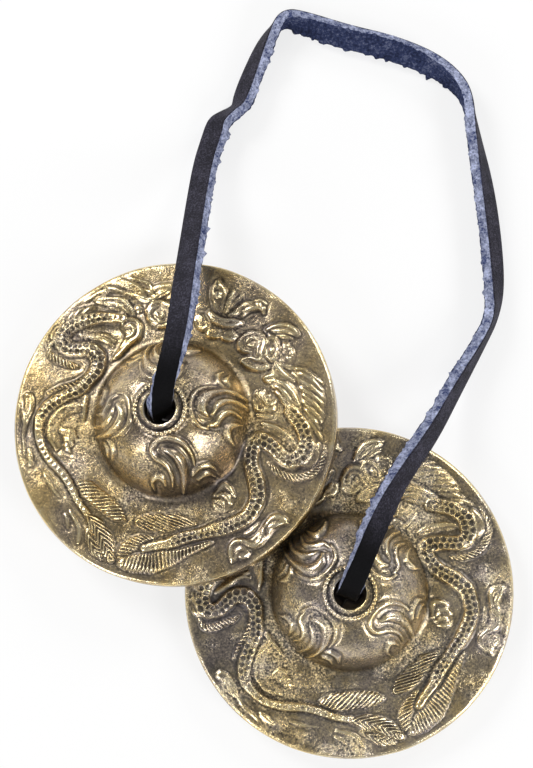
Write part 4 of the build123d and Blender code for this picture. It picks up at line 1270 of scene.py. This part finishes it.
class CastingSettings(bpy.types.PropertyGroup):
    """Sizes and colours of the two castings."""

    rim_radius: FloatProperty(
        name="Rim radius", description="Half the casting's diameter",
        default=(right_high.x - right_low.x) / 2, unit="LENGTH",
    )
    height: FloatProperty(
        name="Height", description="From the rim's plane to the top of the lip",
        default=right_high.z - right_low.z, unit="LENGTH",
    )
    rim_thickness: FloatProperty(
        name="Rim thickness", description="Height of the rim's wall", default=0.005, unit="LENGTH"
    )
    flange_rise: FloatProperty(
        name="Flange rise", description="Rise of the flange towards the dome",
        default=0.0004, unit="LENGTH",
    )
    dome_radius: FloatProperty(
        name="Dome radius", description="Radius of the dome's outside", default=0.0154, unit="LENGTH"
    )
    dome_wall: FloatProperty(
        name="Dome wall", description="Thickness of the dome", default=0.0034, unit="LENGTH"
    )
    hole_radius: FloatProperty(
        name="Hole radius", description="Radius of the strap's hole", default=0.00309, unit="LENGTH"
    )
    lip_width: FloatProperty(
        name="Lip width", description="Width of the lip round the hole", default=0.0011, unit="LENGTH"
    )
    lip_height: FloatProperty(
        name="Lip height", description="Height of that lip", default=0.0004, unit="LENGTH"
    )
    foot_round: FloatProperty(
        name="Foot round", description="Fillet where the dome meets the flange",
        default=0.002, unit="LENGTH",
    )
    rim_round: FloatProperty(
        name="Rim round", description="Rounding of the rim's edges", default=0.0008, unit="LENGTH"
    )
    cup_round: FloatProperty(
        name="Cup round", description="Rounding of the cup's edge", default=0.0007, unit="LENGTH"
    )
    lip_round: FloatProperty(
        name="Lip round", description="Rounding of the lip", default=0.00015, unit="LENGTH"
    )
    relief_depth: FloatProperty(
        name="Relief depth", description="Scales the height of the ornament", default=1.0
    )
    swell: FloatProperty(
        name="Swell", description="How far the ground swells under the ornament", default=0.7
    )
    unevenness: FloatProperty(
        name="Unevenness", description="Slow waves of the hand-finished face",
        default=0.000035, unit="LENGTH",
    )
    mould_turn: FloatProperty(
        name="Mould turn", description="How far the right casting is turned from the left one",
        default=math.radians(43.2), subtype="ANGLE",
    )
    bead_reach: FloatProperty(
        name="Bead reach", description="Radius of the ground that the ring of beads takes",
        default=0.0062, unit="LENGTH",
    )
    steps: IntProperty(name="Steps", description="Steps round the casting", default=624)
    bead_rows: IntProperty(name="Bead rows", description="Rows across the beads", default=14)
    dome_rows: IntProperty(name="Dome rows", description="Rows up the dome", default=44)
    flange_rows: IntProperty(name="Flange rows", description="Rows across the flange", default=62)
    recess_colour: FloatVectorProperty(
        name="Recess", description="Grime in the recesses", default=(0.07, 0.06, 0.05), subtype="COLOR"
    )
    shade_colour: FloatVectorProperty(
        name="Shade", description="Tarnished hollows", default=(0.24, 0.195, 0.135), subtype="COLOR"
    )
    ground_colour: FloatVectorProperty(
        name="Ground", description="Mottled ground", default=(0.56, 0.44, 0.27), subtype="COLOR"
    )
    gold_colour: FloatVectorProperty(
        name="Gold", description="Worn heights", default=(0.82, 0.66, 0.38), subtype="COLOR"
    )
    bright_colour: FloatVectorProperty(
        name="Bright", description="Polished crests", default=(0.98, 0.87, 0.6), subtype="COLOR"
    )


class StrapSettings(bpy.types.PropertyGroup):
    """Size and colours of the strap."""

    strap_width: FloatProperty(
        name="Width", description="Width of the strap", default=0.0048, unit="LENGTH"
    )
    strap_thickness: FloatProperty(
        name="Thickness", description="Thickness of the leather", default=0.0022, unit="LENGTH"
    )
    knot_top: FloatProperty(
        name="Knot top", description="Height of the knots above the rim's plane",
        default=0.0143, unit="LENGTH",
    )
    tail_length: FloatProperty(
        name="Tail length", description="How far the strap's end stands out of a knot",
        default=0.007, unit="LENGTH",
    )
    grain_colour: FloatVectorProperty(
        name="Grain", description="Dyed grain side", default=(0.025, 0.0235, 0.034), subtype="COLOR"
    )
    flesh_colour: FloatVectorProperty(
        name="Flesh", description="Suede side", default=(0.036, 0.048, 0.118), subtype="COLOR"
    )
    fibre_colour: FloatVectorProperty(
        name="Fibre", description="Cut edges", default=(0.27, 0.295, 0.415), subtype="COLOR"
    )


class StageSettings(bpy.types.PropertyGroup):
    """Floor, light and camera."""

    floor_colour: FloatVectorProperty(
        name="Floor", description="Colour of the floor", default=(0.9, 0.9, 0.9), subtype="COLOR"
    )
    lens: FloatProperty(
        name="Lens", description="Focal length in millimetres on a 36 mm long side", default=69.3
    )


class TINGSHA_OT_stage(bpy.types.Operator):
    """Lays the floor and sets the light and the camera"""

    bl_idname = "tingsha.stage"
    bl_label = "Build Stage"

    def execute(self, context):
        size = context.scene.tingsha_stage
        self.add_floor(size)
        self.add_light(context.scene)
        self.add_camera(context.scene, size)
        context.scene.view_settings.view_transform = "Standard"
        return {"FINISHED"}

    def add_floor(self, size):
        """A pale floor that looks white to the camera and in reflections, and takes shadows."""
        finish = Finish("pale_floor")
        rays = finish.node("ShaderNodeLightPath", out="Is Camera Ray")
        glossy = finish.node("ShaderNodeLightPath", out="Is Glossy Ray")
        shown = finish.node("ShaderNodeEmission", None, {"Color": (1, 1, 1, 1), "Strength": 1.0})
        matt = finish.node("ShaderNodeBsdfDiffuse", None, {"Color": rgba(size.floor_colour)})
        share = rays.math("MAXIMUM", glossy) * FLOOR_GLOW
        both = finish.node("ShaderNodeMixShader", None, {0: share, 1: matt, 2: shown})
        finish.node("ShaderNodeOutputMaterial", None, {"Surface": both})
        bm = bmesh.new()
        bmesh.ops.create_grid(bm, x_segments=1, y_segments=1, size=FLOOR_HALF_SIZE)
        bmesh.ops.translate(bm, verts=bm.verts, vec=(0, 0, -FLOOR_DROP))
        mesh_piece(bm, "floor", finish.material)

    def add_light(self, scene):
        """Soft light from all sides and from the lamps."""
        world = bpy.data.worlds.new("soft_light")
        world.use_nodes = True
        background = world.node_tree.nodes["Background"]
        background.inputs["Color"].default_value = (1, 1, 1, 1)
        background.inputs["Strength"].default_value = WORLD_STRENGTH
        scene.world = world
        for name, place, energy, width in LAMPS:
            lamp = bpy.data.lights.new(name, "AREA")
            lamp.energy = energy
            lamp.size = width
            holder = bpy.data.objects.new(name, lamp)
            holder.location = place
            holder.rotation_mode = "QUATERNION"
            holder.rotation_quaternion = (-Vector(place)).to_track_quat("-Z", "Y")
            scene.collection.objects.link(holder)

    def add_camera(self, scene, size):
        """The camera, upright along y."""
        camera = bpy.data.cameras.new("camera")
        camera.lens = size.lens
        camera.sensor_width = SENSOR_WIDTH
        holder = bpy.data.objects.new("camera", camera)
        scene.collection.objects.link(holder)
        place = Vector(CAMERA_PLACE) * MM
        ahead = (Vector(CAMERA_TARGET) * MM - place).normalized()
        right = ahead.cross(Vector((0, 1, 0))).normalized()
        turn = Matrix((right, right.cross(ahead), -ahead)).transposed()
        holder.matrix_world = Matrix.Translation(place) @ turn.to_4x4()
        scene.camera = holder


class TINGSHA_OT_strap(bpy.types.Operator):
    """Builds the leather strap with its bends above the two holes"""

    bl_idname = "tingsha.strap"
    bl_label = "Build Strap"

    def execute(self, context):
        size = context.scene.tingsha_strap
        leather = strap_leather("strap_leather", size)
        points, widths = strap_points()
        stations = ribbon_stations(points, widths)
        left_cut = self.nearest(stations, (points[1] + points[2]) / 2)
        right_cut = self.nearest(stations, (points[-2] + points[-3]) / 2)
        middle = stations[left_cut : right_cut + 1]
        strap = mesh_piece(ribbon_mesh(size, middle), "strap_ribbon", leather)
        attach(strap, "strap_arch")
        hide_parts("strap")
        left = stations[: left_cut + 1]
        right = stations[right_cut:]
        for name, part, body, node, neck, low, outer in (
            ("left_bend_ribbon", left, "left_end", "left_bend", points[1], left[0], left[-1]),
            ("right_bend_ribbon", right, "right_end", "right_bend", points[-2], right[-1], right[0]),
        ):
            bend = mesh_piece(ribbon_mesh(size, part), name, leather)
            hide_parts(node)
            away = ((outer.centre - low.centre) * Vector((1, 1, 0))).normalized()
            still = neck.lerp(low.centre, STILL_SHARE) + away * STILL_SHIFT
            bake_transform(bend)
        return {"FINISHED"}

    @staticmethod
    def nearest(stations, place):
        """The number of the station that is nearest to a place."""
        return min(range(len(stations)), key=lambda i: (stations[i].centre - place).length)


class TINGSHA_OT_knots(bpy.types.Operator):
    """Ties the knots that hold the strap inside the cups"""

    bl_idname = "tingsha.knots"
    bl_label = "Tie Knots"

    def execute(self, context):
        size = context.scene.tingsha_strap
        leather = bpy.data.materials["strap_leather"]
        points, _ = strap_points()
        for name, seat, run, body, node in (
            ("left_knot_ribbon", left_seat, points[2] - points[1], "left_end", "left_knot"),
            ("right_knot_ribbon", right_seat, points[-2] - points[-3], "right_end", "right_knot"),
        ):
            up = seat.col[2].to_3d()
            side = run.cross(Vector((0, 0, 1)))
            side = (side - up * side.dot(up)).normalized()
            out = up.cross(side)
            wrap = ribbon_stations(*self.wrap_points(size, seat.translation, up, side, out))
            tail = ribbon_stations(*self.tail_points(size, seat.translation, up, side, out))
            knot = mesh_piece(ribbon_mesh(size, wrap, tail), name, leather)
            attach(knot, body)
            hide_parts(node)
        return {"FINISHED"}

    @staticmethod
    def wrap_points(size, middle, up, side, out):
        """One turn of the strap round its own neck, leaning in at the top, its end tucked in."""
        height = size.knot_top - size.strap_width / 2
        points = []
        widths = []
        for step, radius in enumerate(WRAP_RADII):
            turn = math.radians(WRAP_START + step * WRAP_STEP)
            flat = side * math.cos(turn) + out * math.sin(turn)
            points.append(middle + flat * radius * MM + up * (height - step * WRAP_FALL * MM))
            widths.append((up - flat * WRAP_LEAN).normalized())
        return points, widths

    @staticmethod
    def tail_points(size, middle, up, side, out):
        """The neck going down through that turn, and the end of the strap lying out to one side."""
        low = size.knot_top - size.strap_width
        route = (*TAIL_ROUTE, (size.tail_length / MM, TAIL_ROUTE[-1][1]))
        points = [middle + out * reach * MM + up * (low + height * MM) for reach, height in route]
        return points, [side] * len(points)


class TINGSHA_OT_castings(bpy.types.Operator):
    """Casts the two cymbals from one mould"""

    bl_idname = "tingsha.castings"
    bl_label = "Cast Cymbals"

    def execute(self, context):
        size = context.scene.tingsha_casting
        left = mesh_piece(
            turned_casting(size), "left_casting",
            bell_metal("bell_metal_golden", size, warmth=1.0, coarse=0.9),
        )
        cast_relief(left, size)
        right = bpy.data.objects.new("right_casting", left.data.copy())
        right.data.materials[0] = bell_metal("bell_metal_dull", size, warmth=0.55, coarse=1.3)
        context.scene.collection.objects.link(right)
        left.data.transform(left_seat)
        right.data.transform(right_seat @ Matrix.Rotation(size.mould_turn, 4, "Z"))
        for piece, node in ((left, "left_cymbal"), (right, "right_cymbal")):
            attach(piece, node)
            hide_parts(node)
        return {"FINISHED"}


class TINGSHA_PT_panel(bpy.types.Panel):
    """Lists the steps that build the pair"""

    bl_label = "Tingsha"
    bl_idname = "TINGSHA_PT_panel"
    bl_space_type = "VIEW_3D"
    bl_region_type = "UI"
    bl_category = "Tingsha"

    def draw(self, context):
        for operator in OPERATORS:
            self.layout.operator(operator.bl_idname)


SETTINGS = {
    "tingsha_casting": CastingSettings,
    "tingsha_strap": StrapSettings,
    "tingsha_stage": StageSettings,
}
OPERATORS = (TINGSHA_OT_stage, TINGSHA_OT_strap, TINGSHA_OT_knots, TINGSHA_OT_castings)
CLASSES = (*SETTINGS.values(), *OPERATORS, TINGSHA_PT_panel)


def register():
    for item in CLASSES:
        bpy.utils.register_class(item)
    for name, group in SETTINGS.items():
        setattr(bpy.types.Scene, name, PointerProperty(type=group))


def unregister():
    for name in SETTINGS:
        delattr(bpy.types.Scene, name)
    for item in reversed(CLASSES):
        bpy.utils.unregister_class(item)


def main():
    """Builds everything."""
    register()
    bpy.ops.tingsha.stage()
    bpy.ops.tingsha.strap()
    bpy.ops.tingsha.knots()
    bpy.ops.tingsha.castings()


if __name__ == "__main__":
    main()
